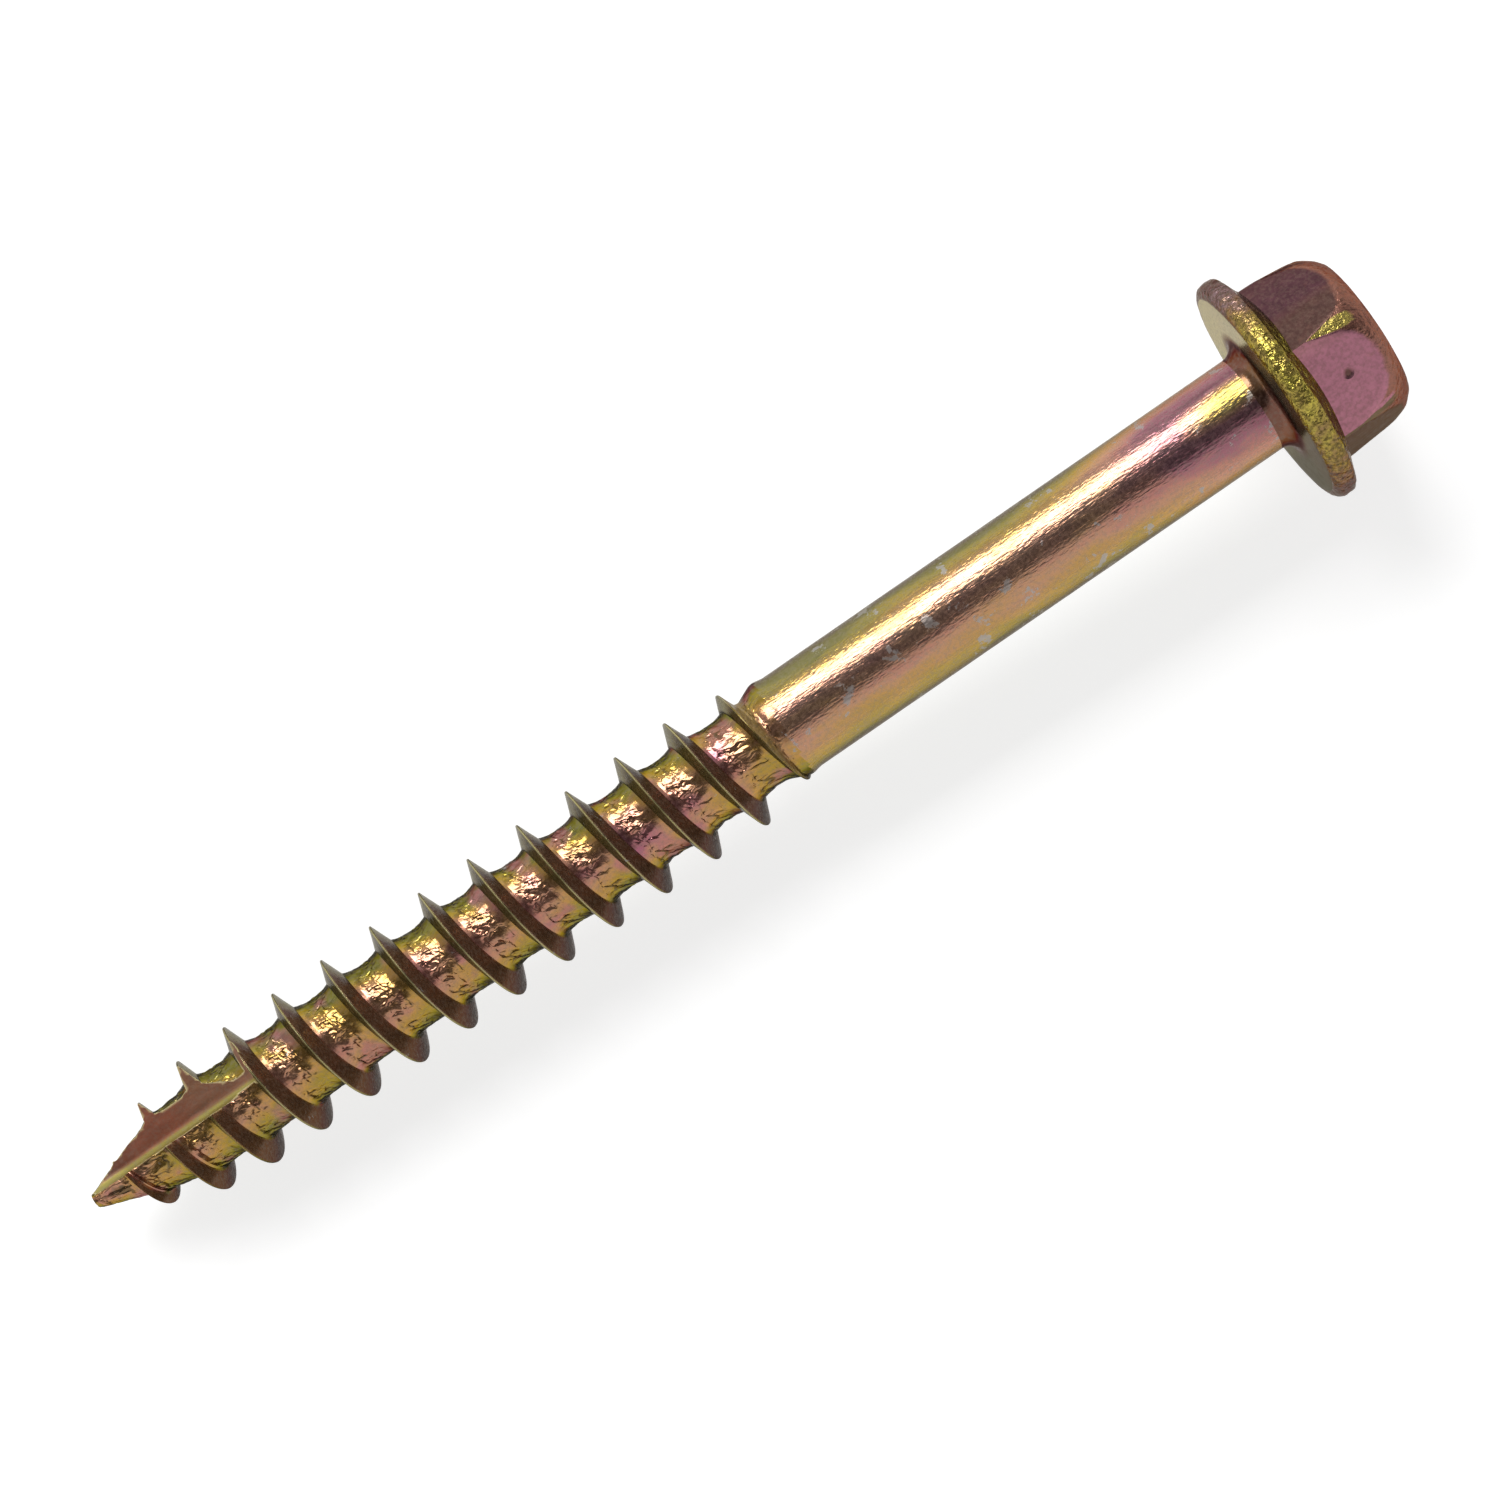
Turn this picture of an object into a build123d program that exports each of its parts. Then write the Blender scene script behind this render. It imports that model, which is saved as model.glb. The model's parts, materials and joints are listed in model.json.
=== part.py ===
"""Lag screw: hexagon flange head, plain shank, coarse wood thread and a notched cutting point.

The screw is one forged and rolled piece. It lies as it comes to rest, on the rim of its flange
and on the last thread crest of full height, with its head towards +X. The origin is on the
resting surface, under the middle of the overall length.

Stations along the screw are measured from the bearing face under the head: positive towards
the point, negative towards the top of the head. Angles about the axis are measured from the
upward direction towards +Y.
"""

import math
import os

from build123d import *

os.makedirs("parts", exist_ok=True)

# ---- lengths and diameters -------------------------------------------------------------------
length_under_head = 100.15  # bearing face to the blunt end of the point
shank_length = 40.3  # bearing face to the shoulder
shank_diameter = 7.42
thread_diameter = 10.1
root_diameter = 6.4
pitch = 4.215

# ---- head ------------------------------------------------------------------------------------
across_flats = 12.8
head_height = 8.3
hexagon_turn = 10.3  # angle about the axis of one corner of the hexagon
hexagon_draft = 1.2  # lean of each flat, from forging
corner_trim_height = 3.5  # bearing face to where the corners begin to be trimmed
corner_trim = 0.42  # what the corners have lost at the crown
crown_height = 6.0  # bearing face to where the rounded crown begins
crown_flat_diameter = 10.8
crown_bulge = 0.24  # how far the crown stands out from a plain cone
flange_diameter = 17.9
flange_thickness = 1.65  # at the rim
flange_face_chamfer = 0.5  # rim beside the bearing face
flange_back_chamfer = 0.3  # rim beside the hexagon
flange_back_rise = 0.9  # how much thicker the flange is at the hexagon
neck_fillet = 1.15

# ---- thread form -----------------------------------------------------------------------------
head_flank_angle = 24.0  # lean of the flank that faces the head, from square to the axis
point_flank_angle = 21.0  # lean of the flank that faces the point
root_rise = 0.2  # how far the rolled root climbs towards each flank
root_run = 1.2  # length of that climb along the axis
root_cover = 0.06  # how far the climb starts below the core
thread_anchor = 0.5  # how deep the thread reaches into the core
thread_lead_length = 0.1  # how far before the shoulder the thread rises out of the shank
runout_length = 5.2  # over which the crest rises to its full height
crest_fade_length = 13.95  # blunt end back to where the crest starts to come down
bare_point_length = 2.5  # blunt end back to where the crest has died on the core
point_pitch = 3.96  # the thread closes up a little towards the point
point_pitch_length = 12.15  # blunt end back to where it starts to
thread_phase_length = 14.53  # blunt end back to where the crest is 90 degrees about the axis
sections_per_turn = 12

# ---- shoulder that the rolling pushes up between shank and thread ------------------------------
shoulder_diameter = 7.65
shoulder_width = 0.5
shoulder_front = 0.4  # length of the step from the shank
shoulder_ramp = 1.4  # length of the slope to the root

# ---- point -----------------------------------------------------------------------------------
blunt_diameter = 1.15
point_half_angle = 20.0
ogive_radius = 24.0
ogive_steps = 3  # short cones that make up the ogive

# ---- notch: a corner milled out of the point, whose edge cuts the pilot hole -------------------
notch_edge_height = 0.35  # the wall that carries the cutting edge, past the axis
notch_length = 15.25  # blunt end back to where the notch's floor leaves the core
notch_angle = 14.5  # climb of the notch's floor from the axis to the surface
notch_bend_radius = 8.0  # where the floor leaves the axis
notch_corner_radius = 0.8  # between floor and wall
notch_end_radius = 1.0  # between floor and end
cutter_clearance = 1.0  # how far the cutter reaches past the metal

# ---- radii and angles that follow --------------------------------------------------------------
shank_r = shank_diameter / 2
root_r = root_diameter / 2
crest_r = thread_diameter / 2
shoulder_r = shoulder_diameter / 2
flange_r = flange_diameter / 2
blunt_r = blunt_diameter / 2
crown_flat_r = crown_flat_diameter / 2
flat_r = across_flats / 2
corner_r = flat_r / math.cos(math.radians(30))
draft = math.tan(math.radians(hexagon_draft))
full_depth = crest_r - root_r

# ---- stations that follow ----------------------------------------------------------------------
shoulder_start = shank_length + shoulder_front
shoulder_end = shoulder_start + shoulder_width
thread_start = shank_length - thread_lead_length
thread_end = length_under_head - bare_point_length
crest_fade_start = length_under_head - crest_fade_length
point_pitch_start = length_under_head - point_pitch_length
crest_station = length_under_head - thread_phase_length
notch_end = length_under_head - notch_length

# ---- point curve: a cone that runs into the root cylinder through a large radius ---------------
cone_slope = math.tan(math.radians(point_half_angle))
cone_station = length_under_head - (root_r - blunt_r) / cone_slope
tangent_length = ogive_radius * math.tan(math.radians(point_half_angle / 2))
ogive_start = cone_station - tangent_length
ogive_end = cone_station + tangent_length * math.cos(math.radians(point_half_angle))


def core_radius(station):
    """Radius of the core under the thread."""
    if station < ogive_start:
        return root_r
    if station > ogive_end:
        return blunt_r + (length_under_head - station) * cone_slope
    return root_r - ogive_radius + math.sqrt(ogive_radius**2 - (station - ogive_start) ** 2)


def crest_radius(station):
    """Radius of the thread's crest, with its run-out at the shank and its ogive at the point."""
    if station < thread_start + runout_length:
        risen = (station - thread_start) / runout_length
        return shank_r + (crest_r - shank_r) * risen
    past = max(station - crest_fade_start, 0) / (thread_end - crest_fade_start)
    return core_radius(station) + full_depth * math.sqrt(1 - past**2)


def crest_turn(station):
    """How many turns about the axis the crest has made at a station, from straight up."""
    turns = (min(station, point_pitch_start) - crest_station) / pitch + 0.25
    return turns + max(station - point_pitch_start, 0) / point_pitch


# ---- resting place -----------------------------------------------------------------------------
# The crest that touches down is the last one straight under the axis before the thread closes
# up. The tilt is that of the line from it to the edge of the flange's rim.
lowest_crest = crest_station + pitch / 4
turns_to_contact = math.floor((point_pitch_start - lowest_crest) / pitch)
contact_station = lowest_crest + turns_to_contact * pitch
contact_drop = flange_r - crest_radius(contact_station)
tilt = math.atan2(contact_drop, contact_station + flange_face_chamfer)
cos_tilt = math.cos(tilt)
sin_tilt = math.sin(tilt)

to_point = Vector(-cos_tilt, 0, -sin_tilt)
upward = Vector(-sin_tilt, 0, cos_tilt)
sideways = Vector(0, 1, 0)
bearing_x = (length_under_head - head_height) / 2 * cos_tilt
bearing_x += (blunt_r - crown_flat_r) / 2 * sin_tilt
bearing_z = flange_r * cos_tilt - flange_face_chamfer * sin_tilt
bearing_centre = Vector(bearing_x, 0, bearing_z)


def on_axis(station):
    """The point of the screw's axis at a station."""
    return bearing_centre + to_point * station


def radial(angle):
    """The direction away from the axis at an angle about it."""
    turn = math.radians(angle)
    return upward * math.cos(turn) + sideways * math.sin(turn)


def half_section(angle):
    """The plane through the axis at an angle: X is the radius and Y the station."""
    return Plane(origin=bearing_centre, x_dir=radial(angle), z_dir=radial(angle).cross(to_point))


screw_axis = Axis(bearing_centre, to_point)

# ---- blank: flange, neck, shank, shoulder, core and point --------------------------------------
step_length = (ogive_end - ogive_start) / ogive_steps
ogive_stations = [ogive_end - step_length * step for step in range(ogive_steps + 1)]
ogive_corners = [(core_radius(station), station) for station in ogive_stations]

with BuildPart() as blank:
    with BuildSketch(half_section(0)):
        with BuildLine():
            Polyline(
                (0, length_under_head),
                (blunt_r, length_under_head),
                *ogive_corners,
                (root_r, shoulder_end + shoulder_ramp),
                (shoulder_r, shoulder_end),
                (shoulder_r, shoulder_start),
                (shank_r, shank_length),
                (shank_r, 0),
                (flange_r, 0),
                (flange_r, -flange_thickness),
                (flat_r, -flange_thickness - flange_back_rise),
                (0, -flange_thickness - flange_back_rise),
                close=True,
            )
        make_face()
        face_corner = vertices().sort_by_distance((flange_r, 0))[0]
        back_corner = vertices().sort_by_distance((flange_r, -flange_thickness))[0]
        chamfer(face_corner, length=flange_face_chamfer)
        chamfer(back_corner, length=flange_back_chamfer)
        fillet(vertices().sort_by_distance((shank_r, 0))[0], radius=neck_fillet)
    revolve(axis=screw_axis)

# ---- hexagon: drafted flats, trimmed corners and a rounded crown -------------------------------
hexagon_foot = Plane(
    origin=on_axis(-flange_thickness / 2), x_dir=radial(hexagon_turn), z_dir=-to_point
)
foot_to_trim = corner_trim_height - flange_thickness / 2
foot_to_crown = crown_height - flange_thickness / 2
trim_r = corner_r - foot_to_trim * draft
crown_r = corner_r - foot_to_crown * draft - corner_trim

crown_edge = Vector(crown_r, -crown_height)
crown_top = Vector(crown_flat_r, -head_height)
crown_chord = crown_top - crown_edge
crown_out = crown_chord.rotate(Axis.Z, 90).normalized()
crown_middle = crown_edge + crown_chord / 2 + crown_out * crown_bulge

with BuildPart() as hexagon:
    with BuildSketch(hexagon_foot):
        RegularPolygon(radius=flat_r, side_count=6, major_radius=False)
    extrude(amount=head_height, taper=hexagon_draft)
    with BuildSketch(half_section(0)):
        with BuildLine():
            Polyline(
                (0, 0),
                (flange_r, 0),
                (trim_r, -corner_trim_height),
                crown_edge,
                crown_middle,
                crown_top,
                (0, -head_height),
                close=True,
            )
        make_face()
    revolve(axis=screw_axis, mode=Mode.INTERSECT)

# ---- thread: the rolled ridge, lofted turn by turn through half sections along its helix -------
head_lean = math.tan(math.radians(head_flank_angle))
point_lean = math.tan(math.radians(point_flank_angle))


def ridge_section(station):
    """The ridge's section where its crest is at a station: two flanks and the rise of the root."""
    top = crest_radius(station)
    depth = top - core_radius(station)
    rise = root_rise * depth / full_depth
    run = root_run * depth / full_depth
    head_foot = station - (depth - rise) * head_lean
    point_foot = station + (depth - rise) * point_lean
    head_toe = head_foot - run
    point_toe = point_foot + run
    with BuildSketch(half_section(crest_turn(station) * 360)) as section:
        with BuildLine():
            Polyline(
                (core_radius(head_toe) - thread_anchor, head_toe),
                (core_radius(head_toe) - root_cover, head_toe),
                (core_radius(head_foot) + rise, head_foot),
                (top, station),
                (core_radius(point_foot) + rise, point_foot),
                (core_radius(point_toe) - root_cover, point_toe),
                (core_radius(point_toe) - thread_anchor, point_toe),
                close=True,
            )
        make_face()
    return section.sketch


ridge_sections = []
station = thread_start
while station < thread_end:
    ridge_sections.append(ridge_section(station))
    step = pitch if station < point_pitch_start else point_pitch
    station += step / sections_per_turn

thread_turns = []
for first in range(0, len(ridge_sections) - 1, sections_per_turn):
    with BuildPart() as thread_turn:
        loft(ridge_sections[first : first + sections_per_turn + 1])
    thread_turns.append(thread_turn.part)

# ---- notch cutter: its floor lies on the axis at the point and then climbs to the surface ------
notch_wall = Plane(
    origin=bearing_centre + sideways * notch_edge_height, x_dir=upward, z_dir=-sideways
)
climb_start = notch_end + root_r / math.tan(math.radians(notch_angle))
clear_r = crest_r + cutter_clearance
clear_station = length_under_head + cutter_clearance

with BuildPart() as notch_cutter:
    with BuildSketch(notch_wall):
        with BuildLine():
            Polyline(
                (0, clear_station),
                (0, climb_start),
                (root_r, notch_end),
                (clear_r, notch_end),
                (clear_r, clear_station),
                close=True,
            )
        make_face()
        fillet(vertices().sort_by_distance((0, climb_start))[0], radius=notch_bend_radius)
        fillet(vertices().sort_by_distance((root_r, notch_end))[0], radius=notch_end_radius)
    extrude(amount=-clear_r)
    wall_edges = faces().sort_by(Axis.Y)[0].edges()
    outer_corner = notch_wall.from_local_coords((clear_r, clear_station))
    fillet(wall_edges.sort_by_distance(outer_corner)[2:], radius=notch_corner_radius)

# ---- the finished screw -----------------------------------------------------------------------
with BuildPart() as lag_screw:
    add(blank.part)
    add(hexagon.part)
    add(thread_turns)
    add(notch_cutter.part, mode=Mode.SUBTRACT)

lag_screw.part.label = "lag_screw"
export_step(lag_screw.part, "parts/lag_screw.step")
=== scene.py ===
"""Looks of a lag screw: its finely shaped body, its yellow passivated zinc and the studio round it.

Sizes are millimetres in the screw's own axes until a mesh is done: the first axis points up from
the screw's axis, the second sideways and the third towards the point, with its zero at the
bearing face under the head. Angles about the axis are turns from straight up.
"""

import json
import logging
import math
from collections.abc import Callable
from dataclasses import dataclass, field
from enum import Enum
from functools import partial
from typing import Any

import bmesh
import bpy
from mathutils import Euler, Matrix, Vector, noise


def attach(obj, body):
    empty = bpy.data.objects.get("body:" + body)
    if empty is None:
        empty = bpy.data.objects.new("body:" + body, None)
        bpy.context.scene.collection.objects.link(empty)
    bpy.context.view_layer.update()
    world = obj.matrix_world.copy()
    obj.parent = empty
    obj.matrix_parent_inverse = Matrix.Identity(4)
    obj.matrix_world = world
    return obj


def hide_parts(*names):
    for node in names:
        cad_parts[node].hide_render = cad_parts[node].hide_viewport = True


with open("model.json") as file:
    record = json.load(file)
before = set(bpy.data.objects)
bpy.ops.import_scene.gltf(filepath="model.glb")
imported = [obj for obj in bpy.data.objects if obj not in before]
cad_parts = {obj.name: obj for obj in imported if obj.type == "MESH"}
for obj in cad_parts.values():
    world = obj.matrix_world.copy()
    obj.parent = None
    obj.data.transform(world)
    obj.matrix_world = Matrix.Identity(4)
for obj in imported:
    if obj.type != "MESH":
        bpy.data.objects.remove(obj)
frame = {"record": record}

MM = 0.001
MATH = "ShaderNodeMath"
VECTOR_MATH = "ShaderNodeVectorMath"
COMBINE = "ShaderNodeCombineXYZ"
SEPARATE = "ShaderNodeSeparateXYZ"
MAP_RANGE = "ShaderNodeMapRange"
CURVE = "ShaderNodeFloatCurve"
RAMP = "ShaderNodeValToRGB"
MIX = "ShaderNodeMix"
NOISE = "ShaderNodeTexNoise"
ATTRIBUTE = "ShaderNodeAttribute"
# A mix node has sockets of one name for each type, so they go by number.
LOW, HIGH = 2, 3
UNDER, OVER, MIXED = 6, 7, 2
WHITE = (1.0, 1.0, 1.0, 1.0)
BURR_COLOUR = "d8cc96"
log = logging.getLogger("lag_screw")

Add = Callable[..., bpy.types.Node]
Socket = bpy.types.NodeSocket
Sockets = bpy.types.bpy_prop_collection
Feed = bpy.types.NodeSocket | bpy.types.Node | float
Outline = list[tuple[float, float]]


class Zone(Enum):
    """The parts of the surface that forging, drawing, rolling and milling leave different."""

    HEAD = 0
    RIM = 1
    SEAT = 2
    SHANK = 3
    THREAD = 4
    CUT = 5


Finishes = dict[Zone, bpy.types.Material]
# How uneven each zone of the blank is, in long and in short waves, in millimetres.
UNEVEN = {
    Zone.HEAD: (0.02, 0.006),
    Zone.RIM: (0.05, 0.075),
    Zone.SEAT: (0.012, 0.0),
    Zone.SHANK: (0.006, 0.0),
}


def linear(colour: str) -> tuple[float, float, float, float]:
    """Turns an sRGB hex colour to the linear one that shaders use.

    Args:
        colour: six hex digits.

    Returns:
        Red, green, blue and an alpha of one.
    """
    parts = [int(colour[place : place + 2], 16) / 255 for place in (0, 2, 4)]
    red, green, blue = (
        part / 12.92 if part <= 0.04045 else ((part + 0.055) / 1.055) ** 2.4 for part in parts
    )
    return red, green, blue, 1.0


def add_node(
    tree: bpy.types.NodeTree,
    kind: str,
    *feeds: Any,
    points: list[tuple[float, Any]] | None = None,
    **settings: Any,
) -> bpy.types.Node:
    """Adds a node with its settings and links.

    Args:
        tree: the tree that gets the node.
        kind: the node's type name.
        feeds: what each input gets, in order: a value, a socket, a node for its first output, or
            None to leave it. A dictionary at the end gives inputs by name or number.
        points: the stops of its colour ramp or the corners of its curve, from 0 to 1.
        settings: the node's other settings by name.

    Returns:
        The node.
    """
    node = tree.nodes.new(kind)
    for name, value in settings.items():
        setattr(node, name, value)
    named = feeds[-1] if feeds and isinstance(feeds[-1], dict) else {}
    ordered = feeds[:-1] if named else feeds
    for key, feed in [*enumerate(ordered), *named.items()]:
        source = feed.outputs[0] if isinstance(feed, bpy.types.Node) else feed
        if isinstance(source, bpy.types.NodeSocket):
            tree.links.new(source, node.inputs[key])
        elif source is not None:
            node.inputs[key].default_value = source
    if points and hasattr(node, "color_ramp"):
        stops = node.color_ramp.elements
        stops.remove(stops[1])
        stops[0].position, stops[0].color = points[0]
        for place, colour in points[1:]:
            stops.new(place).color = colour
    elif points:
        corners = node.mapping.curves[0].points
        while len(corners) < len(points):
            corners.new(0.5, 0.5)
        for corner, place in zip(corners, points):
            corner.location, corner.handle_type = place, "VECTOR"
        node.mapping.update()
    return node


def shares(count: int, first: int = 1) -> list[float]:
    """Equal steps of the way from 0 to 1.

    Args:
        count: how many steps the whole way has.
        first: the step to start with.

    Returns:
        The share of the way at each step.
    """
    return [step / count for step in range(first, count + 1)]


def between(place: float, points: Outline) -> float:
    """Reads a run of straight lines.

    Args:
        place: where to read.
        points: pairs of place and value, in growing order of place.

    Returns:
        The value there.
    """
    for (first, low), (last, high) in zip(points, points[1:]):
        if place <= last:
            return low + (high - low) * (place - first) / (last - first)
    return points[-1][1]


def smooth(place: float, low: float, high: float) -> float:
    """A soft step from 0 at the low place to 1 at the high one."""
    share = min(max((place - low) / (high - low), 0.0), 1.0)
    return share * share * (3 - 2 * share)


def plain_mesh(name: str, shape: bmesh.types.BMesh) -> bpy.types.Mesh:
    """Turns a shape to a mesh whose faces point outwards.

    Args:
        name: the mesh's name.
        shape: the shape, which is freed.

    Returns:
        The mesh.
    """
    bmesh.ops.recalc_face_normals(shape, faces=shape.faces)
    mesh = bpy.data.meshes.new(name)
    shape.to_mesh(mesh)
    shape.free()
    return mesh


def stand(name: str, data: bpy.types.ID) -> bpy.types.Object:
    """Puts an object into the scene.

    Args:
        name: the object's name.
        data: its mesh, camera or lamp.

    Returns:
        The object.
    """
    thing = bpy.data.objects.new(name, data)
    bpy.context.scene.collection.objects.link(thing)
    return thing


def shaped(thing: bpy.types.Object, modifier: bpy.types.Modifier) -> bpy.types.Mesh:
    """Makes a plain mesh of an object and its modifier, and takes both away.

    Args:
        thing: the object.
        modifier: its one modifier.

    Returns:
        The mesh.
    """
    graph = bpy.context.evaluated_depsgraph_get()
    mesh = bpy.data.meshes.new_from_object(thing.evaluated_get(graph))
    thing.modifiers.remove(modifier)
    bpy.data.objects.remove(thing)
    return mesh


@dataclass(frozen=True)
class Place:
    """Where the screw's own axes stand in the frame."""

    seat: Vector
    to_point: Vector

    @classmethod
    def from_record(cls, record: dict[str, Any]) -> "Place":
        """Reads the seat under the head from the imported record."""
        mount = next(m for m in record["mounts"] if m["name"] == "bearing_face")
        return cls(Vector(mount["pos_m"]), Vector(mount["axis"]).normalized())

    def matrix(self) -> Matrix:
        """From millimetres in the screw's axes to metres in the frame.

        Returns:
            The transform.
        """
        sideways = Vector((0, 1, 0))
        upward = sideways.cross(self.to_point)
        turn = Matrix((upward, sideways, self.to_point)).transposed().to_4x4()
        return Matrix.Translation(self.seat) @ turn @ Matrix.Scale(MM, 4)


@dataclass
class RolledThread:
    """The shank's lower end, the wood thread on it and the cone of the point.

    One strip of faces follows the helix from the plain shank to the blunt end, a pitch wide, so
    that its rows lie along the thread's crest and root.
    """

    length: float = 100.15
    shank_radius: float = 3.71
    shank_length: float = 40.3
    shoulder_radius: float = 3.83
    shoulder_front: float = 0.4
    shoulder_width: float = 0.5
    shoulder_ramp: float = 1.4
    root_radius: float = 3.2
    crest_radius: float = 5.04
    crest_width: float = 0.16
    crest_edge: float = 0.985  # height of the crest's edges, as a share
    head_flank: float = 0.65
    point_flank: float = 0.56
    flare_run: float = 1.2
    flare_rise: float = 0.2
    pitch: float = 4.215
    point_pitch: float = 3.96
    point_pitch_start: float = 88.0
    crest_station: float = 85.62  # where the crest is a quarter turn from straight up
    runout_start: float = 40.2
    runout_length: float = 5.2
    fade_start: float = 86.2
    fade_end: float = 97.65
    least_width: float = 0.25  # share of its width that the fading tooth keeps
    thread_margin: float = 0.1
    blunt_radius: float = 0.575
    cone_angle: float = 20.0
    ogive_radius: float = 24.0
    first_station: float = 35.6
    overrun: float = 1.2  # how far the strip runs past the blunt end, to be cut off flat
    columns: int = 144
    rows: int = 32
    first_corner: float = 10.3
    seam: float = 0.002
    # Laps lie in the middle of the root, begin past the shoulder and change a little each turn.
    lap_depth: float = 0.1
    lap_size: float = 0.6
    lap_span: tuple[float, float] = (0.35, 0.65)
    lap_reach: tuple[float, float] = (0.62, 0.3)
    lap_drift: float = 0.12
    lap_stations: tuple[float, float] = (42.0, 44.0)
    # Between these stations the finish goes over from drawn to rolled.
    mark_stations: tuple[float, float] = (41.0, 42.2)

    def crest_turn(self, station: float) -> float:
        """How many turns the crest has made at a station."""
        turns = (min(station, self.point_pitch_start) - self.crest_station) / self.pitch + 0.25
        return turns + max(station - self.point_pitch_start, 0) / self.point_pitch

    def first_turn(self) -> float:
        """The turn at which the strip starts.

        Returns:
            Turns to a column that a corner of the hexagon shares.
        """
        offset = 0.5 + self.first_corner / 360
        columns = math.floor((self.crest_turn(self.first_station) - offset) * self.columns)
        return offset + columns / self.columns

    def last_turn(self) -> float:
        """The turn at which the strip ends, a little past the blunt end."""
        turns = self.crest_turn(self.length + self.overrun) - self.first_turn()
        return self.first_turn() + round(turns * self.columns) / self.columns

    def start_station(self) -> float:
        """The station of the strip's first edge."""
        return self.crest_station + (self.first_turn() - 0.25) * self.pitch

    def core_points(self) -> Outline:
        """The outline under the thread.

        Returns:
            Pairs of station and radius.
        """
        slope = math.tan(math.radians(self.cone_angle))
        cone_station = self.length - (self.root_radius - self.blunt_radius) / slope
        start = cone_station - self.ogive_radius * math.tan(math.radians(self.cone_angle / 2))
        shoulder = self.shank_length + self.shoulder_front
        points = [
            (self.first_station - self.pitch, self.shank_radius),
            (self.shank_length, self.shank_radius),
            (shoulder, self.shoulder_radius),
            (shoulder + self.shoulder_width, self.shoulder_radius),
            (shoulder + self.shoulder_width + self.shoulder_ramp, self.root_radius),
        ]
        for share in shares(6, 0):
            angle = math.radians(self.cone_angle * share)
            drop = self.ogive_radius * (1 - math.cos(angle))
            points.append((start + self.ogive_radius * math.sin(angle), self.root_radius - drop))
        return points + [(self.length, self.blunt_radius)]

    def height_points(self) -> Outline:
        """The thread's height over the root, with its run-out and its fading at the point.

        Returns:
            Pairs of station and share of the full height.
        """
        start = (self.shank_radius - self.root_radius) / (self.crest_radius - self.root_radius)
        points = [
            (self.first_station - self.pitch, start),
            (self.runout_start, start),
            (self.runout_start + self.runout_length, 1.0),
            (self.fade_start, 1.0),
        ]
        for share in shares(12):
            past = math.sin(math.pi / 2 * share)
            station = self.fade_start + (self.fade_end - self.fade_start) * past
            points.append((station, math.sqrt(max(1 - past**2, 0))))
        return points + [(self.length, 0.0)]

    def feet(self) -> tuple[float, float, float]:
        """How far the head flank's foot, the crest's edge and the other foot are from the crest."""
        half = self.crest_width / 2
        return half + self.head_flank, half, half + self.point_flank

    def tooth_points(self) -> Outline:
        """The tooth across a pitch, with a flare at each root.

        Returns:
            Pairs of share of the pitch and share of the height.
        """
        head_foot, half, point_foot = self.feet()
        rise = self.flare_rise / (self.crest_radius - self.root_radius)
        climbs = shares(7, 0)
        points = [(-self.pitch / 2, 0.0)]
        points += [(-head_foot - self.flare_run * (1 - up), rise * up**2) for up in climbs]
        points += [(-half, self.crest_edge), (0.0, 1.0), (half, self.crest_edge)]
        points += [(point_foot + self.flare_run * down, rise * (1 - down) ** 2) for down in climbs]
        points.append((self.pitch / 2, 0.0))
        return [(0.5 + place / self.pitch, height) for place, height in points]

    def row_points(self) -> Outline:
        """Where the rows of the strip stand, close together on the flares and flanks.

        Returns:
            Pairs of share of the rows and share of the pitch.
        """
        head_foot, half, point_foot = self.feet()
        stops = [
            (0, -self.pitch / 2),
            (2, -head_foot - self.flare_run),
            (9, -head_foot),
            (14, -half),
            (16, half),
            (21, point_foot),
            (28, point_foot + self.flare_run),
            (self.rows, self.pitch / 2),
        ]
        return [(row / self.rows, 0.5 + place / self.pitch) for row, place in stops]

    def inputs(self) -> dict[str, float]:
        """The sizes that the node tree takes.

        Returns:
            The values by the names of the inputs.
        """
        return {
            "First turn": self.first_turn(),
            "Last turn": self.last_turn(),
            "Columns": float(self.columns),
            "Pitch": self.pitch,
            "Point pitch": self.point_pitch,
            "Closing turn": self.crest_turn(self.point_pitch_start),
            "Closing station": self.point_pitch_start,
            "Crest offset": self.crest_station - 0.25 * self.pitch,
            "Outline start": self.first_station - self.pitch,
            "Outline end": self.length,
            "Root radius": self.root_radius,
            "Crest radius": self.crest_radius,
            "Lap depth": self.lap_depth,
            "Thread start": self.shank_length + self.shoulder_front + self.thread_margin,
            "Seam": self.seam,
        }

    def outline(
        self, add: Add, given: Sockets, station: Feed, points: Outline, largest: float = 1.0
    ) -> bpy.types.Node:
        """Adds an outline's value at a station.

        Args:
            add: adds a node to the tree.
            given: the tree's inputs.
            station: where to read it.
            points: pairs of station and value, as long as the strip.
            largest: the outline's largest value.

        Returns:
            The node with the share of the largest value.
        """
        first, last = points[0][0], points[-1][0]
        fitted = [((at - first) / (last - first), value / largest) for at, value in points]
        along = add(MAP_RANGE, station, given["Outline start"], given["Outline end"])
        return add(CURVE, {"Value": along}, points=fitted)

    def helix(self, add: Add, given: Sockets, turn: Feed, share: Feed) -> tuple[Feed, Feed]:
        """Adds the place along the helix of each point of the strip.

        Args:
            add: adds a node to the tree.
            given: the tree's inputs.
            turn: the turn at which the point's column stands.
            share: the share of the pitch at which its row stands.

        Returns:
            The turn at which the crest would stand there, and the station.
        """
        below = add(MATH, turn, 0.5, operation="SUBTRACT")
        below = add(MATH, below, given["First turn"], operation="MAXIMUM")
        above = add(MATH, turn, 0.5, operation="ADD")
        above = add(MATH, above, given["Last turn"], operation="MINIMUM")
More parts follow.
